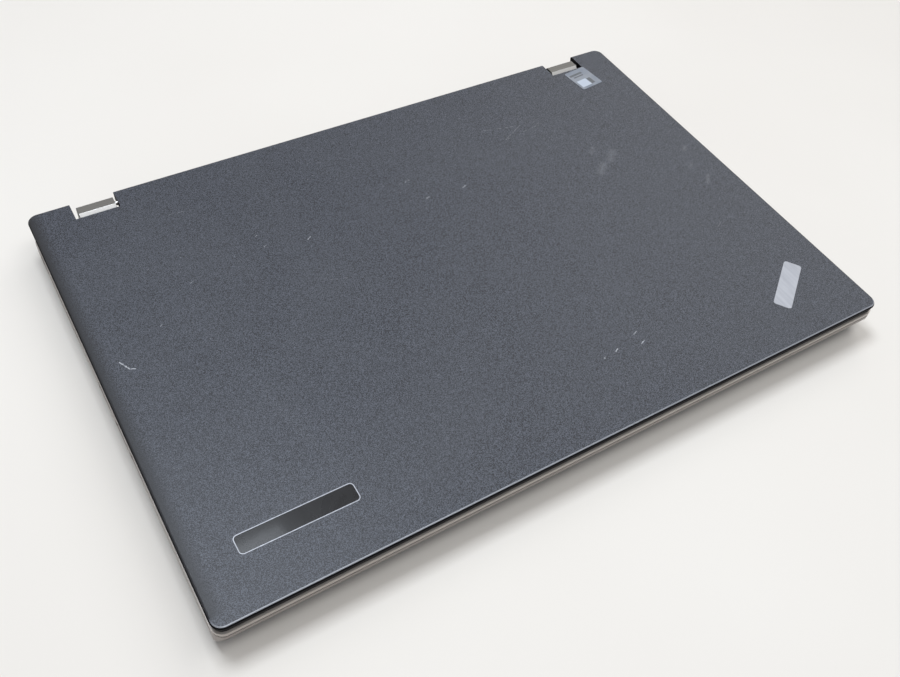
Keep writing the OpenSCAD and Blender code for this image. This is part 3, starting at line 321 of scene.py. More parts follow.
def tint(tree, mask, share, tone, colour):
    """A tone that turns towards a colour by a share of a mask."""
    return mix_colour(tree, times(tree, mask, share), tone, colour)


def split(tree, vector):
    """The three parts of a vector."""
    node = tree.nodes.new("ShaderNodeSeparateXYZ")
    tree.links.new(vector, node.inputs[0])
    return node.outputs


def build_grain_group():
    """Fine moulded or painted grain: a height for bump and a mask of paler flecks."""
    group, start, end = group_start(
        "fine_grain", [("Vector", None), ("Scale", 1500.0), ("Flecks", 0.5)], ["Height", "Fleck"])
    coarse = noise_node(group, start["Vector"], start["Scale"], 1.0, 0.6)
    finer = times(group, start["Scale"], 2.3)
    fine = noise_node(group, start["Vector"], finer, 1.0, 0.5)
    height = math_node(group, "ADD", times(group, coarse, 0.65), times(group, fine, 0.35))
    group.links.new(height, end["Height"])
    fleck = range_node(group, height, 0.50, 0.68)
    group.links.new(times(group, fleck, start["Flecks"], True), end["Fleck"])
    return group


def build_wear_group():
    """Wear on outer edges: where the rounded normal leaves the true one, broken up by noise."""
    group, start, end = group_start("edge_wear", [("Vector", None), ("Amount", 0.5)], ["Mask"])
    rounded = new_node(group, "ShaderNodeBevel", Radius=0.0005)
    rounded.samples = 4
    geometry = group.nodes.new("ShaderNodeNewGeometry")
    dot = vector_node(group, "DOT_PRODUCT", rounded.outputs["Normal"], geometry.outputs["Normal"], 1)
    edge = range_node(group, dot, 0.985, 0.80)
    broken = range_node(group, noise_node(group, start["Vector"], 260.0, 4.0, 0.7), 0.42, 0.62)
    worn = times(group, times(group, edge, broken), start["Amount"], True)
    group.links.new(worn, end["Mask"])
    return group


def build_smudge_group():
    """Handling marks: broad soft patches that change the sheen, and sparse dust specks."""
    group, start, end = group_start("smudges", [("Vector", None), ("Scale", 22.0)], ["Patch", "Dust"])
    cloud = noise_node(group, start["Vector"], start["Scale"], 5.0, 0.62, 0.6)
    group.links.new(range_node(group, cloud, 0.35, 0.72), end["Patch"])
    cells = new_node(group, "ShaderNodeTexVoronoi", Scale=260.0)
    group.links.new(start["Vector"], cells.inputs["Vector"])
    speck = range_node(group, cells.outputs["Distance"], 0.085, 0.03)
    sparse = range_node(group, noise_node(group, start["Vector"], 30.0, 2.0), 0.56, 0.60)
    group.links.new(times(group, speck, sparse, True), end["Dust"])
    return group


def build_stroke_group():
    """A scratch from one point to another on a flat surface, thinning and breaking along its length."""
    inputs = [("Vector", None), ("From", None), ("To", None), ("Width", 0.0003), ("Break", 0.4)]
    group, start, end = group_start("scratch", inputs, ["Mask"])
    flat = vector_node(group, "MULTIPLY", start["Vector"], (1, 1, 0))
    along = vector_node(group, "SUBTRACT", start["To"], start["From"])
    offset = vector_node(group, "SUBTRACT", flat, start["From"])
    length = vector_node(group, "DOT_PRODUCT", along, along, 1)
    share = math_node(group, "DIVIDE", vector_node(group, "DOT_PRODUCT", offset, along, 1), length, True)
    scaled = group.nodes.new("ShaderNodeVectorMath")
    scaled.operation = "SCALE"
    group.links.new(along, scaled.inputs[0])
    group.links.new(share, scaled.inputs["Scale"])
    gap = vector_node(group, "LENGTH", vector_node(group, "SUBTRACT", offset, scaled.outputs[0]), None, 1)
    wander = times(group, math_node(group, "SUBTRACT", noise_node(group, flat, 900.0, 3.0), 0.5), 0.0011)
    gap = math_node(group, "ABSOLUTE", math_node(group, "ADD", gap, wander))
    ratio = math_node(group, "DIVIDE", gap, start["Width"])
    line = math_node(group, "SUBTRACT", 1.0, ratio, True)
    broken = math_node(group, "GREATER_THAN", noise_node(group, flat, 520.0, 2.0), start["Break"])
    group.links.new(times(group, line, broken, True), end["Mask"])
    return group


def build_bar_group():
    """A straight-sided printed patch on a flat surface, turned about its middle."""
    group, start, end = group_start(
        "printed_bar", [("Vector", None), ("Middle", None), ("Half", None), ("Turn", 0.0)], ["Mask"])
    offset = vector_node(group, "SUBTRACT", start["Vector"], start["Middle"])
    turn = group.nodes.new("ShaderNodeVectorRotate")
    turn.rotation_type = "Z_AXIS"
    group.links.new(offset, turn.inputs["Vector"])
    group.links.new(times(group, start["Turn"], -1.0), turn.inputs["Angle"])
    reach = vector_node(group, "ABSOLUTE", turn.outputs[0])
    inside = vector_node(group, "SUBTRACT", start["Half"], reach)
    across, up = [math_node(group, "GREATER_THAN", part, 0.0) for part in split(group, inside)[:2]]
    group.links.new(times(group, across, up), end["Mask"])
    return group


GRAIN, WEAR, SMUDGE = build_grain_group(), build_wear_group(), build_smudge_group()
STROKE, BAR = build_stroke_group(), build_bar_group()


def use_group(tree, group, vector, **values):
    node = tree.nodes.new("ShaderNodeGroup")
    node.node_tree = group
    tree.links.new(vector, node.inputs["Vector"])
    for label, value in values.items():
        node.inputs[label].default_value = value
    return node.outputs


def grey(value):
    return value, value, value


def paler(colour, gain, lift=0.0):
    return tuple(min(1.0, c * gain + lift) for c in colour)


def finish_start(name, colour, roughness, metallic=0.0, coat=0.0, specular=0.5):
    """Returns a material, its node tree, its Principled shader and its Object coordinates."""
    material = bpy.data.materials.new(name)
    material.use_nodes = True
    tree = material.node_tree
    shader = tree.nodes["Principled BSDF"]
    settings = {"Base Color": (*colour, 1), "Roughness": roughness, "Metallic": metallic,
                "Coat Weight": coat, "Specular IOR Level": specular}
    for label, value in settings.items():
        shader.inputs[label].default_value = value
    place = tree.nodes.new("ShaderNodeTexCoord")
    return material, tree, shader, place.outputs["Object"]


def feed(tree, shader, colour, roughness=None, metallic=None):
    """Links what a finish has worked out to its shader."""
    for label, value in (("Base Color", colour), ("Roughness", roughness), ("Metallic", metallic)):
        if value is not None:
            tree.links.new(value, shader.inputs[label])


def add_bump(tree, shader, height, distance):
    bump = new_node(tree, "ShaderNodeBump", Distance=distance, Strength=1.0)
    tree.links.new(height, bump.inputs["Height"])
    tree.links.new(bump.outputs["Normal"], shader.inputs["Normal"])


def marked_sheen(tree, marks, low, rise):
    """A roughness that rises where the surface has been handled."""
    sheen = math_node(tree, "MULTIPLY_ADD", marks["Patch"], rise)
    sheen.node.inputs[2].default_value = low
    return sheen


def grained_finish(name, colour, roughness, grain, flecks, bump, worn, wear, dust=0.25):
    """Painted or moulded surface with fine grain, handling marks, dust and worn edges."""
    material, tree, shader, place = finish_start(name, colour, roughness)
    grains = use_group(tree, GRAIN, place, Scale=grain, Flecks=flecks)
    marks = use_group(tree, SMUDGE, place, Scale=24.0)
    edges = use_group(tree, WEAR, place, Amount=wear)
    tone = mix_colour(tree, grains["Fleck"], colour, paler(colour, 1.9, 0.012))
    tone = tint(tree, marks["Patch"], 0.16, tone, paler(colour, 1.35, 0.006))
    tone = tint(tree, marks["Dust"], dust, tone, (0.42, 0.41, 0.39))
    tone = mix_colour(tree, edges["Mask"], tone, worn)
    feed(tree, shader, tone, marked_sheen(tree, marks, roughness - 0.05, 0.10))
    add_bump(tree, shader, grains["Height"], bump)
    return material


# ---- finishes

def floor_finish():
    """Pale table that turns into the colour of the room far from the laptop."""
    material, tree, shader, place = finish_start("pale_table", (0.70, 0.66, 0.60), 0.75)
    cloud = range_node(tree, noise_node(tree, place, 2.5, 4.0), 0.3, 0.7)
    tone = mix_colour(tree, cloud, (0.68, 0.635, 0.575), (0.72, 0.68, 0.62))
    feed(tree, shader, tone)
    far = range_node(tree, vector_node(tree, "LENGTH", place, None, 1), 0.6, 1.5)
    glow = new_node(tree, "ShaderNodeEmission", Color=PALE_ROOM)
    blend(tree, times(tree, far, seen_rays(tree)), shader, glow, "Material Output")
    return material


# Marks on the lid: from x, y to x, y, half width (mm), how broken it is, how pale it is.
SCRATCHES = [
    (-159.3, 13.0, -156.6, 7.7, 0.34, 0.15, 1.0), (-156.6, 7.7, -154.4, 6.7, 0.34, 0.10, 1.0),
    (-57.6, 44.1, -56.0, 45.2, 0.28, 0.25, 0.8), (-79.2, 56.5, -78.0, 57.1, 0.24, 0.30, 0.6),
    (-78.2, 48.5, -76.8, 49.2, 0.24, 0.30, 0.6), (-116.8, 42.0, -115.2, 42.7, 0.22, 0.35, 0.5),
    (-138.0, 23.5, -136.4, 24.6, 0.22, 0.35, 0.5), (0.5, 59.0, 6.5, 60.2, 0.8, 0.52, 0.32),
    (5.0, 43.5, 10.5, 45.0, 0.7, 0.52, 0.32), (29.0, 43.4, 32.5, 44.6, 0.5, 0.45, 0.4),
    (62.0, 78.0, 84.0, 73.0, 0.28, 0.48, 0.22), (84.0, 73.0, 70.0, 66.0, 0.26, 0.50, 0.22),
    (70.0, 66.0, 96.0, 69.5, 0.26, 0.50, 0.22), (88.0, 80.0, 97.0, 66.0, 0.24, 0.52, 0.18),
    (102.0, 22.0, 107.5, 26.5, 3.2, 0.0, 0.10), (113.0, 28.0, 118.5, 33.0, 3.4, 0.0, 0.09),
    (107.0, 37.0, 110.0, 40.0, 2.2, 0.0, 0.07), (156.0, 17.0, 158.3, 18.8, 1.8, 0.0, 0.12),
    (150.0, -9.9, 154.4, -5.2, 1.6, 0.0, 0.10), (149.0, 4.0, 152.6, 6.0, 1.4, 0.0, 0.07),
    (34.4, -79.6, 36.4, -78.5, 0.34, 0.30, 0.9), (48.2, -75.2, 50.0, -74.5, 0.34, 0.30, 0.9),
    (48.0, -81.3, 50.2, -80.3, 0.34, 0.30, 0.9), (27.6, -80.3, 28.4, -79.6, 0.30, 0.30, 0.8),
    (-110.0, 88.0, -97.0, 86.5, 0.22, 0.50, 0.2), (130.0, -40.0, 141.0, -33.0, 0.24, 0.52, 0.2),
    (-60.0, 16.0, -52.0, 13.5, 0.22, 0.52, 0.18), (-30.0, 92.0, -18.0, 90.0, 0.22, 0.52, 0.18),
]


def lid_finish():
    """Grainy lid paint with its marks, painted shade at the rim and along the left edge, and a painted highlight on the
    front rim.
    """
    material, tree, shader, place = finish_start("lid_paint", (0.045, 0.048, 0.055), 0.42, 0.0, 0.0, 0.3)
    grain = use_group(tree, GRAIN, place, Scale=2700.0, Flecks=1.0)
    hands = use_group(tree, SMUDGE, place, Scale=13.0)
    edges = use_group(tree, WEAR, place, Amount=0.35)
    fleck = range_node(tree, grain["Height"], 0.445, 0.575)
    tone = mix_colour(tree, fleck, (0.002, 0.003, 0.006), (0.082, 0.090, 0.111))
    tone = tint(tree, hands["Patch"], 0.22, tone, (0.074, 0.078, 0.086))
    marks = times(tree, hands["Dust"], 0.28)
    for x0, y0, x1, y1, width, gaps, pale in SCRATCHES:
        line = use_group(tree, STROKE, place, From=(x0 * MM, y0 * MM, 0), To=(x1 * MM, y1 * MM, 0),
                         Width=width * MM, Break=gaps)
        marks = math_node(tree, "MAXIMUM", marks, times(tree, line["Mask"], pale))
    tone = mix_colour(tree, marks, tone, (0.42, 0.43, 0.45))
    tone = mix_colour(tree, edges["Mask"], tone, (0.21, 0.21, 0.22))
    x, y, z = split(tree, place)
    rim = range_node(tree, z, RIM_HIGH, RIM_LOW)
    left = range_node(tree, x, LEFT + 0.0075, LEFT + 0.0012)
    front = range_node(tree, y, FRONT + 0.0062, FRONT + 0.0022)
    # Painted shade: the rim and a band along the left edge are darkened, except near the front.
    dark = times(tree, math_node(tree, "MAXIMUM", rim, left), range_node(tree, front, 0.6, 0.0))
    tone = mix_colour(tree, dark, tone, (0.012, 0.013, 0.016))
    # Painted highlight on the front of the rim: pale, smoother and partly metallic.
    lightened = times(tree, rim, front)
    tone = mix_colour(tree, lightened, tone, (0.27, 0.285, 0.315))
    sheen = math_node(tree, "SUBTRACT", marked_sheen(tree, hands, 0.40, 0.07), times(tree, lightened, 0.15))
    feed(tree, shader, tone, sheen, times(tree, lightened, 0.45))
    relief = times(tree, grain["Height"], range_node(tree, lightened, 0.0, 1.0, 1.0, 0.1))
    add_bump(tree, shader, relief, 0.00007)
    return material


def lid_side_shade_finish():
    """The lid's side: smooth black under the rim, a painted shade with almost no reflection, with faint rubbing along
    it.
    """
    material, tree, shader, place = finish_start("lid_side_painted_shade", (0.003, 0.003, 0.004), 0.6, 0.0, 0.0, 0.04)
    rub = noise_node(tree, vector_node(tree, "MULTIPLY", place, (60.0, 60.0, 900.0)), 1.0, 3.0, 0.6)
    edges = use_group(tree, WEAR, place, Amount=0.25)
    lightened = range_node(tree, rub, 0.5, 0.75, 0.0, 0.4)
    tone = mix_colour(tree, lightened, (0.003, 0.003, 0.004), (0.009, 0.009, 0.010))
    tone = mix_colour(tree, edges["Mask"], tone, (0.016, 0.016, 0.018))
    feed(tree, shader, tone, range_node(tree, rub, 0.3, 0.7, 0.45, 0.6))
    add_bump(tree, shader, rub, 0.00001)
    return material


def band_finish():
    """Silver-grey paint above the groove, paler partly by its own tone and partly as painted light against the shade
    under the lid; a darker lower band, and black inside the groove.
    """
    material, tree, shader, place = finish_start("band_paint", (0.36, 0.33, 0.30), 0.38, 0.35)
    grain = use_group(tree, GRAIN, place, Scale=2200.0, Flecks=0.35)
    marks = use_group(tree, SMUDGE, place, Scale=40.0)
    edges = use_group(tree, WEAR, place, Amount=0.3)
    height = split(tree, place)[2]
    upper = math_node(tree, "GREATER_THAN", height, GROOVE_HIGH)
    groove = math_node(tree, "GREATER_THAN", height, GROOVE_LOW)
    tone = mix_colour(tree, groove, (0.30, 0.262, 0.24), (0.012, 0.012, 0.012))
    # The upper band's tone is partly its own paler paint and partly painted light that offsets the shade under the lid.
    tone = mix_colour(tree, upper, tone, (0.46, 0.42, 0.385))
    flecks, patches = times(tree, grain["Fleck"], 0.5), times(tree, marks["Patch"], 0.25)
    tone = mix_colour(tree, flecks, tone, (0.50, 0.47, 0.44))
    tone = mix_colour(tree, patches, tone, (0.27, 0.25, 0.235))
    tone = mix_colour(tree, edges["Mask"], tone, (0.58, 0.56, 0.53))
    feed(tree, shader, tone)
    add_bump(tree, shader, grain["Height"], 0.00002)
    return material


def metal_finish(name, colour, roughness, stretch=(30.0, 900.0, 900.0), streak=0.25, metallic=1.0):
    """Bare metal with brushed streaks, a little staining and brighter worn edges."""
    material, tree, shader, place = finish_start(name, colour, roughness, metallic)
    streaks = noise_node(tree, vector_node(tree, "MULTIPLY", place, stretch), 1.0, 3.0, 0.6)
    marks = use_group(tree, SMUDGE, place, Scale=70.0)
    edges = use_group(tree, WEAR, place, Amount=0.4)
    darker = tuple(c * 0.62 for c in colour)
    tone = mix_colour(tree, times(tree, range_node(tree, streaks, 0.35, 0.7), streak * 1.6), colour, darker)
    tone = tint(tree, marks["Patch"], 0.15, tone, darker)
    tone = mix_colour(tree, edges["Mask"], tone, paler(colour, 1.3))
    sheen = range_node(tree, streaks, 0.3, 0.7, roughness - 0.06, roughness + 0.08)
    feed(tree, shader, tone, sheen)
    add_bump(tree, shader, streaks, 0.000012)
    return material


def circuit_finish():
    """Solder mask with raised tracks and small pads."""
    material, tree, shader, place = finish_start("circuit_board", (0.01, 0.09, 0.035), 0.35)
    tracks = new_node(tree, "ShaderNodeTexBrick", Scale=190.0, Mortar_Size=0.045, Mortar_Smooth=0.1,
                      Brick_Width=1.7, Row_Height=0.32)
    tracks.offset = 0.37
    tree.links.new(place, tracks.inputs["Vector"])
    patchy = range_node(tree, noise_node(tree, place, 85.0, 2.0), 0.47, 0.53)
    lines = times(tree, tracks.outputs["Fac"], patchy)
    pads = new_node(tree, "ShaderNodeTexVoronoi", Scale=330.0, Randomness=0.25)
    tree.links.new(place, pads.inputs["Vector"])
    clusters = range_node(tree, noise_node(tree, place, 120.0, 1.0), 0.55, 0.57)
    dots = times(tree, range_node(tree, pads.outputs["Distance"], 0.22, 0.16), clusters)
    tone = mix_colour(tree, lines, (0.008, 0.075, 0.03), (0.02, 0.15, 0.06))
    tone = mix_colour(tree, dots, tone, (0.55, 0.45, 0.22))
    feed(tree, shader, tone, metallic=times(tree, dots, 0.9))
    add_bump(tree, shader, math_node(tree, "ADD", lines, dots), 0.00003)
    return material


def screen_finish():
    """Matt black film with a fine sparkle, some dust and finger marks."""
    material, tree, shader, place = finish_start("screen_film", (0.008, 0.008, 0.010), 0.22)
    sparkle = noise_node(tree, place, 4200.0, 1.0)
    marks = use_group(tree, SMUDGE, place, Scale=16.0)
    tone = tint(tree, marks["Dust"], 0.35, (0.007, 0.007, 0.009), grey(0.2))
    tone = tint(tree, marks["Patch"], 0.15, tone, (0.016, 0.016, 0.018))
    feed(tree, shader, tone, range_node(tree, marks["Patch"], 0.0, 1.0, 0.20, 0.30))
    add_bump(tree, shader, sparkle, 0.000015)
    return material


def foil_finish():
    """Small crinkled holographic label: bare, with a pale square and three dark bars."""
    material, tree, shader, place = finish_start("label_foil", (0.26, 0.29, 0.34), 0.5, 0.1)
    crinkle = noise_node(tree, place, 420.0, 4.0, 0.6, 0.4)
    hue = range_node(tree, noise_node(tree, place, 150.0, 2.0), 0.38, 0.62)
    tone = mix_colour(tree, hue, (0.14, 0.162, 0.197), (0.19, 0.204, 0.228))
    turn = math.radians(7)
    square = use_group(tree, BAR, place, Middle=(0.1410, 0.0900, 0), Half=(0.0034, 0.0030, 1), Turn=turn)
    tone = mix_colour(tree, square["Mask"], tone, (0.38, 0.42, 0.48))
    bars = [((0.1461, 0.0905, 0), (0.0013, 0.0026, 1)), ((0.1408, 0.0985, 0), (0.0046, 0.0008, 1)),
            ((0.1415, 0.0965, 0), (0.0036, 0.0005, 1))]
    for middle, half in bars:
        bar = use_group(tree, BAR, place, Middle=middle, Half=half, Turn=turn)
        tone = tint(tree, bar["Mask"], 0.85, tone, (0.05, 0.055, 0.06))
    feed(tree, shader, tone, range_node(tree, crinkle, 0.3, 0.7, 0.30, 0.48))
    add_bump(tree, shader, crinkle, 0.00008)
    return material


def gloss_finish(name, colour, coat, roughness, specular=0.5):
    """Smooth dark plastic or glass under a clear coat, with a little dust."""
    material, tree, shader, place = finish_start(name, colour, roughness, 0.0, coat, specular)
    shader.inputs["Coat Roughness"].default_value = 0.06
    marks = use_group(tree, SMUDGE, place, Scale=90.0)
    tone = tint(tree, marks["Dust"], 0.3, colour, grey(0.3))
    tone = tint(tree, marks["Patch"], 0.3, tone, paler(colour, 1.0, 0.012))
    sheen = range_node(tree, marks["Patch"], 0.0, 1.0, roughness, roughness + 0.12)
    feed(tree, shader, tone, sheen)
    return material


def film_finish(name, colour, roughness):
    """Shrink film drawn tight, with long soft wrinkles."""
    material, tree, shader, place = finish_start(name, colour, roughness, 0.0, 0.3)
    stretched = vector_node(tree, "MULTIPLY", place, (45.0, 260.0, 260.0))
    wrinkle = noise_node(tree, stretched, 1.0, 3.0, 0.55, 0.5)
    marks = use_group(tree, SMUDGE, place, Scale=45.0)
    tone = tint(tree, marks["Patch"], 0.4, colour, paler(colour, 1.6, 0.01))
    sheen = range_node(tree, wrinkle, 0.3, 0.7, roughness - 0.05, roughness + 0.12)
    feed(tree, shader, tone, sheen)
    add_bump(tree, shader, wrinkle, 0.00012)
    return material


def rubber_finish(name, colour, roughness=0.8, grain=900.0):
    return grained_finish(name, colour, roughness, grain, 0.25, 0.00005, paler(colour, 2.5, 0.03), 0.3, 0.5)


# The second lid finish is a near-black copy for the lid's sides: painted shade.
LID, LID_SIDE_SHADE = lid_finish(), lid_side_shade_finish()
BAND = band_finish()
BLACK = grained_finish("moulded_black", (0.020, 0.020, 0.022), 0.56, 1900.0, 0.55, 0.00004, grey(0.11), 0.4)
TUB = grained_finish("base_black", (0.026, 0.026, 0.028), 0.60, 1500.0, 0.55, 0.00006, grey(0.12), 0.5, 0.45)
BEZEL = grained_finish("bezel_black", (0.017, 0.017, 0.019), 0.52, 2100.0, 0.5, 0.00003, grey(0.09), 0.3)
KEY = grained_finish("key_plastic", (0.016, 0.016, 0.018), 0.48, 2600.0, 0.45, 0.00002, grey(0.07), 0.35, 0.3)
LEGEND = grained_finish("legend_print", (0.62, 0.62, 0.60), 0.6, 3000.0, 0.2, 0.00001, grey(0.5), 0.1)
PAD = grained_finish("pad_film", (0.028, 0.028, 0.031), 0.42, 1300.0, 0.4, 0.00007, grey(0.09), 0.3)
STICK = rubber_finish("stick_rubber", (0.085, 0.088, 0.094), 0.75, 1600.0)
SOFT = rubber_finish("soft_rubber", (0.035, 0.035, 0.037))
DOME = grained_finish("dome_silicone", (0.55, 0.55, 0.53), 0.45, 900.0, 0.2, 0.00002, (0.6, 0.6, 0.58), 0.1)
CABLE = rubber_finish("cable_jacket", (0.014, 0.014, 0.015), 0.55, 1200.0)
CHIP = grained_finish("chip_case", (0.022, 0.022, 0.024), 0.5, 2400.0, 0.5, 0.00002, grey(0.1), 0.2)
FAN = grained_finish("fan_plastic", (0.030, 0.030, 0.032), 0.42, 1400.0, 0.3, 0.00003, grey(0.1), 0.3)
SOCKET = grained_finish("socket_black", (0.014, 0.014, 0.015), 0.45, 1800.0, 0.3, 0.00002, grey(0.1), 0.5,
                        0.5)
PANEL = metal_finish("panel_frame", (0.52, 0.53, 0.54), 0.34)
COPPER = metal_finish("brushed_copper", (0.72, 0.36, 0.20), 0.28, (20.0, 1100.0, 700.0), 0.35)
STEEL = metal_finish("zinc_steel", grey(0.46), 0.36, (260.0, 300.0, 300.0), 0.3)
HINGE = metal_finish("hinge_metal", (0.155, 0.152, 0.145), 0.5, (35.0, 1500.0, 1500.0), 0.22)
# A pale copy of the hinge metal, used as a painted highlight on the knuckles' front bevels.
HINGE_HIGHLIGHT = metal_finish("hinge_painted_highlight", (0.50, 0.51, 0.52), 0.42, (35.0, 1500.0, 1500.0), 0.15)
SCREW = metal_finish("screw_steel", (0.40, 0.40, 0.41), 0.32, (600.0, 600.0, 900.0), 0.3)
DRIVE = metal_finish("drive_case", (0.55, 0.55, 0.56), 0.33, (900.0, 25.0, 900.0), 0.2)
NICKEL = metal_finish("socket_nickel", (0.56, 0.55, 0.53), 0.26, (500.0, 80.0, 500.0), 0.25)
GOLD = metal_finish("contact_gold", (0.80, 0.58, 0.22), 0.26, (300.0, 300.0, 300.0), 0.2)
SILVER = metal_finish("badge_silver", (0.33, 0.34, 0.37), 0.46, (700.0, 60.0, 700.0), 0.18, 0.35)
BADGE = gloss_finish("badge_gloss", (0.004, 0.004, 0.005), 0.12, 0.22, 0.16)
LENS = gloss_finish("lens_glass", (0.004, 0.004, 0.006), 1.0, 0.08)
FOIL, CIRCUIT, SCREEN = foil_finish(), circuit_finish(), screen_finish()
WRAP = film_finish("cell_wrap", (0.020, 0.020, 0.022), 0.3)

FINISHED = [
    (LID, "lid_cover"), (BAND, "edge_band"), (TUB, "bottom_cover"), (BLACK, "palm_rest power_button"),
    (BEZEL, "screen_bezel keyboard_bezel"), (SCREEN, "display_glass"),
    (PANEL, "display_frame keyboard_plate"),
    (KEY, "function_keys number_keys upper_letter_keys home_letter_keys lower_letter_keys modifier_keys"),
    (KEY, "arrow_keys space_bar enter_key"), (DOME, "key_domes"), (STICK, "pointing_stick"),
    (PAD, "touchpad left_button middle_button right_button"), (CHIP, "board_chips processor"),
    (CIRCUIT, "mainboard display_board webcam_module memory_module wireless_card"),
    (COPPER, "heat_pipe exhaust_fins"), (FAN, "fan_housing fan_rotor"), (GOLD, "lid_antennas"),
    (DRIVE, "storage_drive"), (WRAP, "battery_pack"), (NICKEL, "coin_cell usb_ports video_port card_reader"),
    (SOCKET, "speakers power_jack network_port audio_jack"), (CABLE, "display_cable_lid display_cable_base"),
    (STEEL, "hinge_arm_left hinge_arm_right"), (HINGE, "hinge_knuckle_left hinge_knuckle_right"),
    (SCREW, "lid_screws base_screws"), (SOFT, "lid_bumpers rubber_feet"), (BADGE, "front_badge"),
    (SILVER, "corner_badge"), (FOIL, "lid_label"),
]
NODE_FINISH = {name: material for material, names in FINISHED for name in names.split()}


def finish_nodes():
    for name, node in nodes.items():
        material = NODE_FINISH[name]
        if node.material_slots:
            for slot in node.material_slots:
                slot.material = material
        else:
            node.data.materials.append(material)


# ---- modelling helpers

def clear_selection():
    bpy.ops.object.select_all(action="DESELECT")


def select_only(*pieces):
    clear_selection()
    for piece in pieces:
        piece.select_set(True)
    bpy.context.view_layer.objects.active = pieces[0]


def pick_all(action="SELECT"):
    bpy.ops.mesh.select_all(action=action)


def edit(piece, mode):
    """Puts the piece in edit mode with nothing selected, to pick edges or faces."""
    select_only(piece)
    bpy.ops.object.mode_set(mode="EDIT")
    bpy.ops.mesh.select_mode(type=mode)
    pick_all("DESELECT")


def leave_edit():
    bpy.ops.object.mode_set(mode="OBJECT")


def pick(piece, kind, test):
    """Selects the edges or faces that pass the test. The piece is in edit mode."""
    pick_all("DESELECT")
    mesh = bmesh.from_edit_mesh(piece.data)
    for part in (mesh.edges if kind == "EDGE" else mesh.faces):
        if test(part):
            part.select_set(True)
    bmesh.update_edit_mesh(piece.data)


def inset(width):
    bpy.ops.mesh.inset(thickness=width * MM)


def lift(height):
    bpy.ops.transform.translate(value=(0, 0, height * MM))


def extrude_up(height):
    bpy.ops.mesh.extrude_region_move(TRANSFORM_OT_translate={"value": (0, 0, height * MM)})


def bevel(width, segments, profile=0.5, clamp=False):
    bpy.ops.mesh.bevel(offset=width * MM, offset_type="OFFSET", segments=segments, profile=profile,
                       affect="EDGES", clamp_overlap=clamp)


def settle(piece):
    """Moves the piece's place into its mesh."""
    select_only(piece)
    bpy.ops.object.transform_apply(location=True, rotation=True, scale=True)


def block(name, size, middle):
    """A box of that size, centred on a point, in millimetres."""
    clear_selection()
    bpy.ops.mesh.primitive_cube_add(size=1, location=tuple(c * MM for c in middle))
    piece = bpy.context.object
    piece.name = piece.data.name = name
    piece.scale = tuple(c * MM for c in size)
    settle(piece)
    return piece


def disc(name, radius, height, middle, sides):
    """An upright cylinder, centred on a point, in millimetres."""
    clear_selection()
    bpy.ops.mesh.primitive_cylinder_add(vertices=sides, radius=radius * MM, depth=height * MM,
                                        location=tuple(c * MM for c in middle))
    piece = bpy.context.object
    piece.name = piece.data.name = name
    settle(piece)
    return piece


def flat_polygon(sides, radius, x, y, z):
    clear_selection()
    bpy.ops.mesh.primitive_circle_add(vertices=sides, radius=radius * MM, fill_type="NGON",
                                      location=(x * MM, y * MM, z * MM))
    return bpy.context.object


def copy_of(master, name, place):
    """A copy with its own mesh, moved by a distance in millimetres."""
    piece = bpy.data.objects.new(name, master.data.copy())
    scene.collection.objects.link(piece)
    piece.location = tuple(c * MM for c in place)
    return piece


def joined(name, pieces):
    """Joins pieces into one object at the origin."""
    select_only(*pieces)
    if len(pieces) > 1:
        bpy.ops.object.join()
    piece = bpy.context.object
    piece.name = piece.data.name = name
    settle(piece)
    return piece


def smooth(piece, angle=35):
    """Smooth shading that keeps flat faces flat and corners crisp."""
    select_only(piece)
    bpy.ops.object.shade_smooth_by_angle(angle=math.radians(angle))
    flat = piece.modifiers.new("flat faces", "WEIGHTED_NORMAL")
    flat.keep_sharp = True
    flat.weight = 100
    bpy.ops.object.modifier_apply(modifier=flat.name)


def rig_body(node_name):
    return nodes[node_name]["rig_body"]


def dress(piece, material, body, slot, replaced=()):
    """Gives a finished piece its material, and says its body, its slot and the nodes that it stands for."""
    piece.data.materials.clear()
    piece.data.materials.append(material)
    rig.ride(piece, body)
    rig.slot(piece, slot)
    if replaced:
        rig.replaces(piece, *replaced)


def drop(piece):
    """Deletes a piece and its mesh."""
    mesh = piece.data
    bpy.data.objects.remove(piece)
    bpy.data.meshes.remove(mesh)


def rim_soft(piece, width, segments, test):
    """Rounds the edges that pass the test."""
    edit(piece, "EDGE")
    pick(piece, "EDGE", test)
    bevel(width, segments, 0.6, True)
    leave_edit()


def sharp_edge(edge, angle):
    """Whether an edge turns by more than an angle in degrees."""
    return len(edge.link_faces) == 2 and edge.calc_face_angle(0.0) > math.radians(angle)


def past(edge, limit):
    """Whether an edge lies above a height in metres. A minus sign asks for an edge below that height."""
    return all(v.co.z > limit if limit > 0 else v.co.z < -limit for v in edge.verts)


def shell_copy(node_name, new_name, slot, angle, soft=None, limit=None):
    """A merged, smooth-shaded copy of a source solid, with some of its edges rounded, that stands for it."""
    piece = bpy.data.objects.new(new_name, nodes[node_name].data.copy())
    scene.collection.objects.link(piece)
    piece.data.name = new_name
    edit(piece, "EDGE")
    pick_all()
    bpy.ops.mesh.remove_doubles(threshold=MERGE)
    pick_all()
    bpy.ops.mesh.dissolve_limited(angle_limit=math.radians(0.6))
    leave_edit()
    if soft:
        rim_soft(piece, soft, 2, lambda edge: sharp_edge(edge, 40) and past(edge, limit))
    smooth(piece, angle)
    dress(piece, NODE_FINISH[node_name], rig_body(node_name), slot, (node_name,))
    return piece


def paint_faces(piece, material, test):
    """Gives the faces that pass the test a second material."""
    piece.data.materials.append(material)
    for face in piece.data.polygons:
        if test(face):
            face.material_index = 1


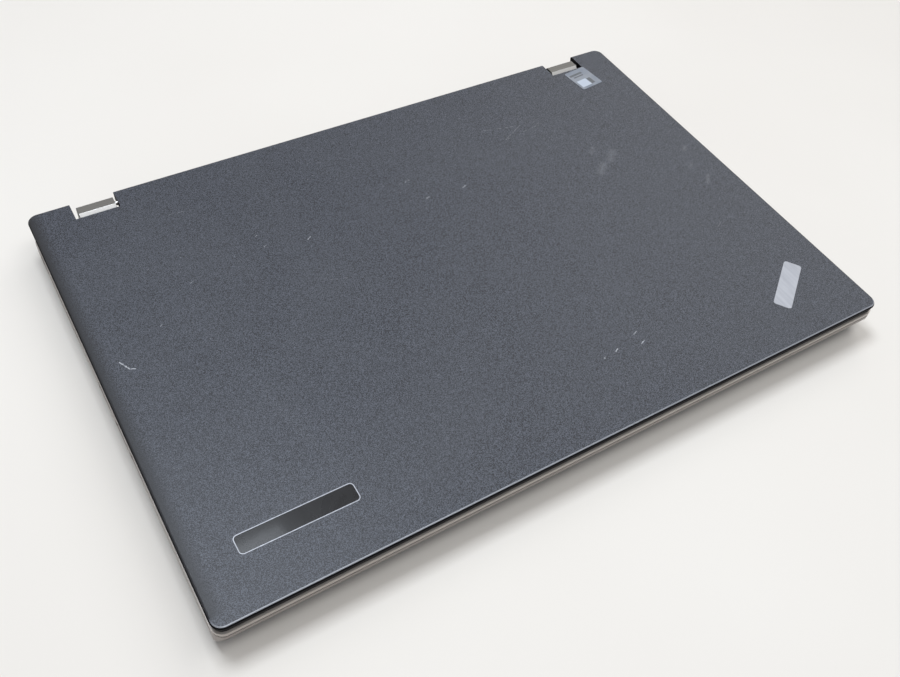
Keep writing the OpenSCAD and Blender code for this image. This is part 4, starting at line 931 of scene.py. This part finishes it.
def solids_of(node_name):
    """The lowest and highest corner of every separate solid in a node, in millimetres."""
    mesh = bmesh.new()
    mesh.from_mesh(nodes[node_name].data)
    bmesh.ops.remove_doubles(mesh, verts=mesh.verts, dist=MERGE)
    seen, boxes = set(), []
    for first in mesh.verts:
        if first in seen:
            continue
        stack, group = [first], []
        seen.add(first)
        while stack:
            vert = stack.pop()
            group.append(vert.co / MM)
            for edge in vert.link_edges:
                other = edge.other_vert(vert)
                if other not in seen:
                    seen.add(other)
                    stack.append(other)
        boxes.append(tuple(tuple(end(c[i] for c in group) for i in range(3)) for end in (min, max)))
    mesh.free()
    return boxes


def centre_of(low, high):
    """A solid's middle, seen from above."""
    return (low[0] + high[0]) / 2, (low[1] + high[1]) / 2


# ---- keyboard

def upright(edge):
    return abs((edge.verts[0].co - edge.verts[1].co).normalized().z) > 0.9


def keycap(width, depth, height, small):
    """One keycap on the origin: rounded corners, sides that lean in, and a shallow dish on top."""
    cap = block("cap", (width, depth, height), (0, 0, height / 2))
    edit(cap, "EDGE")
    pick(cap, "EDGE", upright)
    bevel(1.0 if small else 1.35, 3)
    bpy.ops.mesh.select_mode(type="FACE")
    top = height * MM - 0.00001
    pick(cap, "FACE", lambda f: f.normal.z > 0.9 and f.calc_center_median().z > top)
    lean, rim = 0.35 if small else 0.5, 0.28
    bpy.ops.transform.resize(value=((width - 2 * lean) / width, (depth - 2 * lean) / depth, 1),
                             center_override=(0, 0, height * MM))
    inset(rim)
    extrude_up(-KEY_DISH)
    outer, dish = 2 * (lean + rim), 2 * (0.9 if small else 1.5)
    bpy.ops.transform.resize(value=(1 - dish / (width - outer), 1 - dish / (depth - outer), 1),
                             center_override=(0, 0, height * MM))
    bpy.ops.mesh.select_mode(type="EDGE")
    pick(cap, "EDGE", lambda e: past(e, top) and any(abs(f.normal.z) < 0.5 for f in e.link_faces))
    bevel(0.22, 2)
    leave_edit()
    smooth(cap, 50)
    return cap


def dome_cup(low, high):
    """One silicone dome, on the origin: a skirt, a thin bell and a flat tip with a small dimple."""
    wide, tall, skirt = (high[0] - low[0]) / 2, high[2] - low[2], 0.22
    cup = disc("cup", wide, skirt, (0, 0, skirt / 2), 20)
    edit(cup, "FACE")
    pick(cup, "FACE", lambda f: f.normal.z > 0.9)
    inset(0.45)
    for up, inward in ((tall * 0.42, 0.35), (tall * 0.30, 0.25), (tall * 0.28 - skirt, 0.05)):
        extrude_up(up)
        inset(inward)
    inset(0.35)
    lift(-0.12)
    leave_edit()
    smooth(cup, 40)
    return cup


def build_domes(caps_by_row):
    """The domes in one piece for each row of keys, which flattens as that row is pressed."""
    boxes = solids_of("key_domes")
    master = dome_cup(*boxes[0])
    plate = boxes[0][0][2]
    for row, caps in caps_by_row.items():
        cups = []
        for low, high in boxes:
            x, y = centre_of(low, high)
            if any(a[0] < x < b[0] and a[1] < y < b[1] for a, b in caps):
                cups.append(copy_of(master, "cup_copy", (x, y, low[2])))
        piece = joined(row + "_cups", cups)
        dress(piece, DOME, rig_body("key_domes"), "dome", ("key_domes",))
        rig.squash(piece, row + "_travel", axis=(0, 0, 1), anchor=(0, 0, plate * MM), keep=0.05)
    drop(master)


LEGENDS = {
    "function_keys": "Esc F1 F2 F3 F4 F5 F6 F7 F8 F9 F10 F11 F12 Home End Ins Del".split(),
    "number_keys": "` 1 2 3 4 5 6 7 8 9 0 - = Bksp".split(),
    "upper_letter_keys": "Tab Q W E R T Y U I O P [ ] \\".split(),
    "home_letter_keys": "Caps A S D F G H J K L ; '".split(),
    "lower_letter_keys": "Shift Z X C V B N M , . / Shift".split(),
    "modifier_keys": ["Fn", "Ctrl", "", "Alt", "Alt", "", "Ctrl"],
    "enter_key": ["Enter"],
    "space_bar": [""],
    "arrow_keys": None,
}


def printed(text, size, x, y, z):
    """A printed legend whose top left corner is at x, y."""
    clear_selection()
    bpy.ops.object.text_add(location=(0, 0, 0))
    words = bpy.context.object
    words.data.body = text
    words.data.size = size * MM
    words.data.resolution_u = 2
    words.data.extrude = 0.006 * MM
    bpy.ops.object.convert(target="MESH")
    words = bpy.context.object
    corners = [v.co for v in words.data.vertices]
    words.location = (x * MM - min(c.x for c in corners), y * MM - max(c.y for c in corners), z * MM)
    return words


def arrow_mark(turn, x, y, z):
    """A printed triangle that points left, down, right or up."""
    arrow = flat_polygon(3, 1.3, x, y, z)
    arrow.rotation_euler = (0, 0, turn)
    return arrow


def build_keys():
    """Caps and printed legends, row by row. Caps of one size are copies of one master."""
    masters, rows = {}, {}
    turns = (math.pi / 2, 0, math.pi, -math.pi / 2)
    for row, legends in LEGENDS.items():
        small = row in ("function_keys", "arrow_keys")
        boxes = rows[row] = sorted(solids_of(row), key=lambda b: (b[0][0], b[0][1]))
        caps, prints = [], []
        for i, (low, high) in enumerate(boxes):
            size = tuple(round(high[k] - low[k], 2) for k in range(3))
            if size not in masters:
                masters[size] = keycap(*size, small)
            x, y = centre_of(low, high)
            caps.append(copy_of(masters[size], "cap_copy", (x, y, low[2])))
            print_z = high[2] - KEY_DISH + 0.004
            if legends is None:
                prints.append(arrow_mark(turns[i % 4], x, y, print_z + 0.006))
            elif legends[i]:
                single = len(legends[i]) == 1
                tall = (2.3 if small else 3.4) if single else (1.9 if small else 2.3)
                edge = 1.6 if small else 2.5
                prints.append(printed(legends[i], tall * 1.35, low[0] + edge, high[1] - edge - 0.2, print_z))
        dress(joined(row + "_caps", caps), KEY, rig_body(row), "key", (row,))
        if prints:
            dress(joined(row + "_legends", prints), LEGEND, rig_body(row), "key")
    for master in masters.values():
        drop(master)
    build_domes(rows)


# ---- shells and badges

# Node, piece, slot, smoothing angle, rounding in mm, and the height in metres above which edges are rounded.
# With a minus sign they are rounded below that height.
SHELLS = [
    ("lid_cover", "lid_shell_piece", "lid_shell", 40),
    ("screen_bezel", "bezel_piece", "bezel", 35, 0.25, -0.01645),
    ("bottom_cover", "bottom_piece", "base_shell", 35),
    ("edge_band", "band_piece", "band", 35),
    ("palm_rest", "palm_piece", "base_shell", 35, 0.2, 0.01585),
    *[("hinge_knuckle_" + side, "knuckle_cap_" + side, "hinge_metal", 30, 0.18, 0.0170)
      for side in ("left", "right")],
    ("rubber_feet", "feet_piece", "soft", 35, 0.35, -0.0001),
    ("lid_bumpers", "bumper_piece", "soft", 40),
    ("touchpad", "touchpad_piece", "base_shell", 35, 0.3, 0.01565),
    *[(name, name + "_piece", "base_shell", 35, 0.3, 0.01605)
      for name in ("left_button", "middle_button", "right_button")],
    ("power_button", "power_button_piece", "base_shell", 35, 0.35, 0.01595),
    ("pointing_stick", "stick_piece", "soft", 35, 0.5, 0.01605),
    ("corner_badge", "corner_badge_piece", "badge_silver", 35, 0.08, 0.0210),
    ("front_badge", "front_badge_piece", "badge_dark", 35, 0.08, 0.02105),
]


def build_shells():
    """The outer shells, merged and smooth, with their handled edges a little rounded."""
    made = {row[0]: shell_copy(*row) for row in SHELLS}
    # The lid's sides and the lower half of its rounded rim take the near-black painted shade.
    paint_faces(made["lid_cover"], LID_SIDE_SHADE, lambda f: f.center.z < LID_SIDE_TOP and f.normal.z < 0.75)
    paint_faces(made["bottom_cover"], BAND, lambda f: f.center.z > BAND_FOOT and abs(f.normal.z) < 0.3
                and f.center.y < FRONT + 0.0075)
    # The knuckles' faces that look to the front and up take the pale painted highlight; the rest stays dark.
    for name in ("hinge_knuckle_left", "hinge_knuckle_right"):
        paint_faces(made[name], HINGE_HIGHLIGHT, lambda f: f.normal.y < -0.4 and f.normal.z > 0.2)


def badge_outline():
    """A thin bright line round the dark badge."""
    length, height, x, y = 50.0, 8.6, -125.0, -88.0
    ring = block("badge_line", (length + 0.1, height + 0.1, 0.06), (x, y, LID_TOP + 0.09))
    edit(ring, "EDGE")
    pick(ring, "EDGE", upright)
    bevel(1.9, 6)
    bpy.ops.mesh.select_mode(type="FACE")
    pick(ring, "FACE", lambda f: abs(f.normal.z) > 0.9)
    inset(0.36)
    bpy.ops.mesh.bridge_edge_loops()
    leave_edit()
    edit(ring, "FACE")
    pick_all()
    bpy.ops.mesh.normals_make_consistent(inside=False)
    leave_edit()
    smooth(ring, 35)
    dress(ring, SILVER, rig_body("front_badge"), "badge_silver")


# ---- screws, contacts, camera and power mark

def recessed(piece, cutter):
    """Cuts one piece out of another and throws the cutter away."""
    cut = piece.modifiers.new("recess", "BOOLEAN")
    cut.operation = "DIFFERENCE"
    cut.solver = "EXACT"
    cut.object = cutter
    select_only(piece)
    bpy.ops.object.modifier_apply(modifier=cut.name)
    drop(cutter)


def screw_head(radius, height):
    """A pan head with a cross recess, its slotted face down."""
    head = disc("head", radius, height, (0, 0, height / 2), 28)
    rim_soft(head, 0.22, 2, lambda e: sharp_edge(e, 60) and past(e, -0.00001))
    long, wide, deep = radius * 1.2, 0.46, 0.9
    for size in ((long, wide, deep), (wide, long, deep)):
        recessed(head, block("cutter", size, (0, 0, 0)))
    smooth(head, 35)
    return head


def build_screws():
    """The cover's screws: a head with a cross recess, and a shank with a chamfered end."""
    masters, parts = {}, []
    for low, high in solids_of("base_screws"):
        radius = round((high[0] - low[0]) / 2, 2)
        tall = 0.9 if radius > 2.2 else 1.0
        if radius not in masters:
            masters[radius] = screw_head(radius, tall)
        x, y = centre_of(low, high)
        parts.append(copy_of(masters[radius], "head_copy", (x, y, low[2])))
        foot = low[2] + tall - 0.1
        shank = disc("shank", 1.0, high[2] - low[2] - tall + 0.1, (x, y, (high[2] + foot) / 2), 20)
        rim_soft(shank, 0.3, 1, lambda e: past(e, high[2] * MM - 0.00001))
        parts.append(shank)
    screws = joined("cover_screws", parts)
    dress(screws, SCREW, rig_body("base_screws"), "steel", ("base_screws",))
    for master in masters.values():
        drop(master)


def port_insert(side, y, width, z, thick, deep, strips, pitch, strip_w, below):
    """A socket's black tongue, and its row of gold contacts on the lower or upper face."""
    outer = side * (PORT_X - 2.0)
    middle = outer - side * deep / 2
    tongue = block("tongue", (deep + 0.06, width + 0.06, thick + 0.06), (middle, y, z + thick / 2))
    rim_soft(tongue, 0.28, 2, lambda e: all(abs(v.co.x) > abs(outer) * MM - 0.0002 for v in e.verts))
    contacts = []
    for i in range(strips):
        at_z = z - 0.05 if below else z + thick + 0.05
        strip = block("strip", (deep * 0.55, strip_w, 0.08),
                      (outer - side * (deep * 0.275 + 0.7), y + (i - (strips - 1) / 2) * pitch, at_z))
        rim_soft(strip, 0.03, 1, lambda e: sharp_edge(e, 60))
        contacts.append(strip)
    return tongue, contacts


def build_port_inserts():
    """Tongues and contacts in the sockets, the network socket's wires and the audio jack's ring."""
    tongues, contacts = [], []
    for side, y in ((-1, -32.0), (-1, -14.0), (1, 50.0)):
        tongue, strips = port_insert(side, y, width=11.0, z=9.9, thick=1.9, deep=15.0, strips=4, pitch=2.2,
                                     strip_w=1.1, below=True)
        tongues.append(tongue)
        contacts += strips
    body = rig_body("usb_ports")
    dress(joined("usb_tongues", tongues), SOCKET, body, "socket_black")
    dress(joined("usb_contacts", contacts), GOLD, body, "gold")
    tongue, strips = port_insert(-1, 7.0, width=11.4, z=9.2, thick=1.2, deep=11.0, strips=10, pitch=1.0,
                                 strip_w=0.5, below=False)
    dress(joined("video_tongue", [tongue]), SOCKET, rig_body("video_port"), "socket_black")
    dress(joined("video_contacts", strips), GOLD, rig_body("video_port"), "gold")
    wires = []
    for i in range(8):
        wire = block("wire", (8.5, 0.45, 0.2), (160.6, 73.5 + (i - 3.5) * 1.02, 13.2))
        edit(wire, "FACE")
        pick(wire, "FACE", lambda f: f.normal.x < -0.9)
        lift(-1.6)
        leave_edit()
        wires.append(wire)
    dress(joined("network_wires", wires), GOLD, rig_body("network_port"), "gold")
    clear_selection()
    bpy.ops.mesh.primitive_torus_add(major_radius=2.1 * MM, minor_radius=0.24 * MM, major_segments=36,
                                     minor_segments=8, location=(PORT_X * MM, 30 * MM, 9.95 * MM),
                                     rotation=(0, math.pi / 2, 0))
    ring = bpy.context.object
    ring.scale = (1, 1, 0.7)
    ring = joined("headphone_ring", [ring])
    smooth(ring, 60)
    dress(ring, NICKEL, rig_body("audio_jack"), "socket_metal")


def build_camera():
    """Lens window in the screen's frame: a dark collar, a recessed step and a small glass dome."""
    y, low = FRONT_Y + 8, 16.48
    collar = disc("camera_lens", 2.02, 0.18, (0, y, low + 0.09), 40)
    edit(collar, "FACE")
    pick(collar, "FACE", lambda f: f.normal.z < -0.9)
    inset(0.5)
    lift(0.08)
    inset(0.25)
    inset(0.35)
    lift(-0.05)
    leave_edit()
    rim_soft(collar, 0.06, 2, lambda e: sharp_edge(e, 60) and past(e, -(low + 0.01) * MM))
    smooth(collar, 40)
    dress(collar, LENS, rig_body("webcam_module"), "badge_dark")


def build_power_mark():
    """A broken ring and a bar, printed on the power button."""
    x, y, z = 129.5, 90.0, 16.005
    ring = flat_polygon(36, 1.75, x, y, z)
    settle(ring)
    edit(ring, "FACE")
    pick_all()
    inset(0.32)
    bpy.ops.mesh.delete(type="FACE")
    pick(ring, "FACE", lambda f: f.calc_center_median().y > (y + 1.35) * MM)
    bpy.ops.mesh.delete(type="FACE")
    leave_edit()
    bar = block("bar", (0.34, 1.5, 0.004), (x, y + 1.25, z))
    mark = joined("power_mark", [ring, bar])
    dress(mark, LEGEND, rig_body("power_button"), "key")


place_camera()
light_studio()
lay_floor()
finish_nodes()
build_shells()
build_keys()
badge_outline()
build_screws()
build_port_inserts()
build_camera()
build_power_mark()

with open("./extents.json", "w") as out:
    json.dump({"cad_box": [list(corner) for corner in cad_box], "visual_box": [list(corner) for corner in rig.bounds()]}, out)
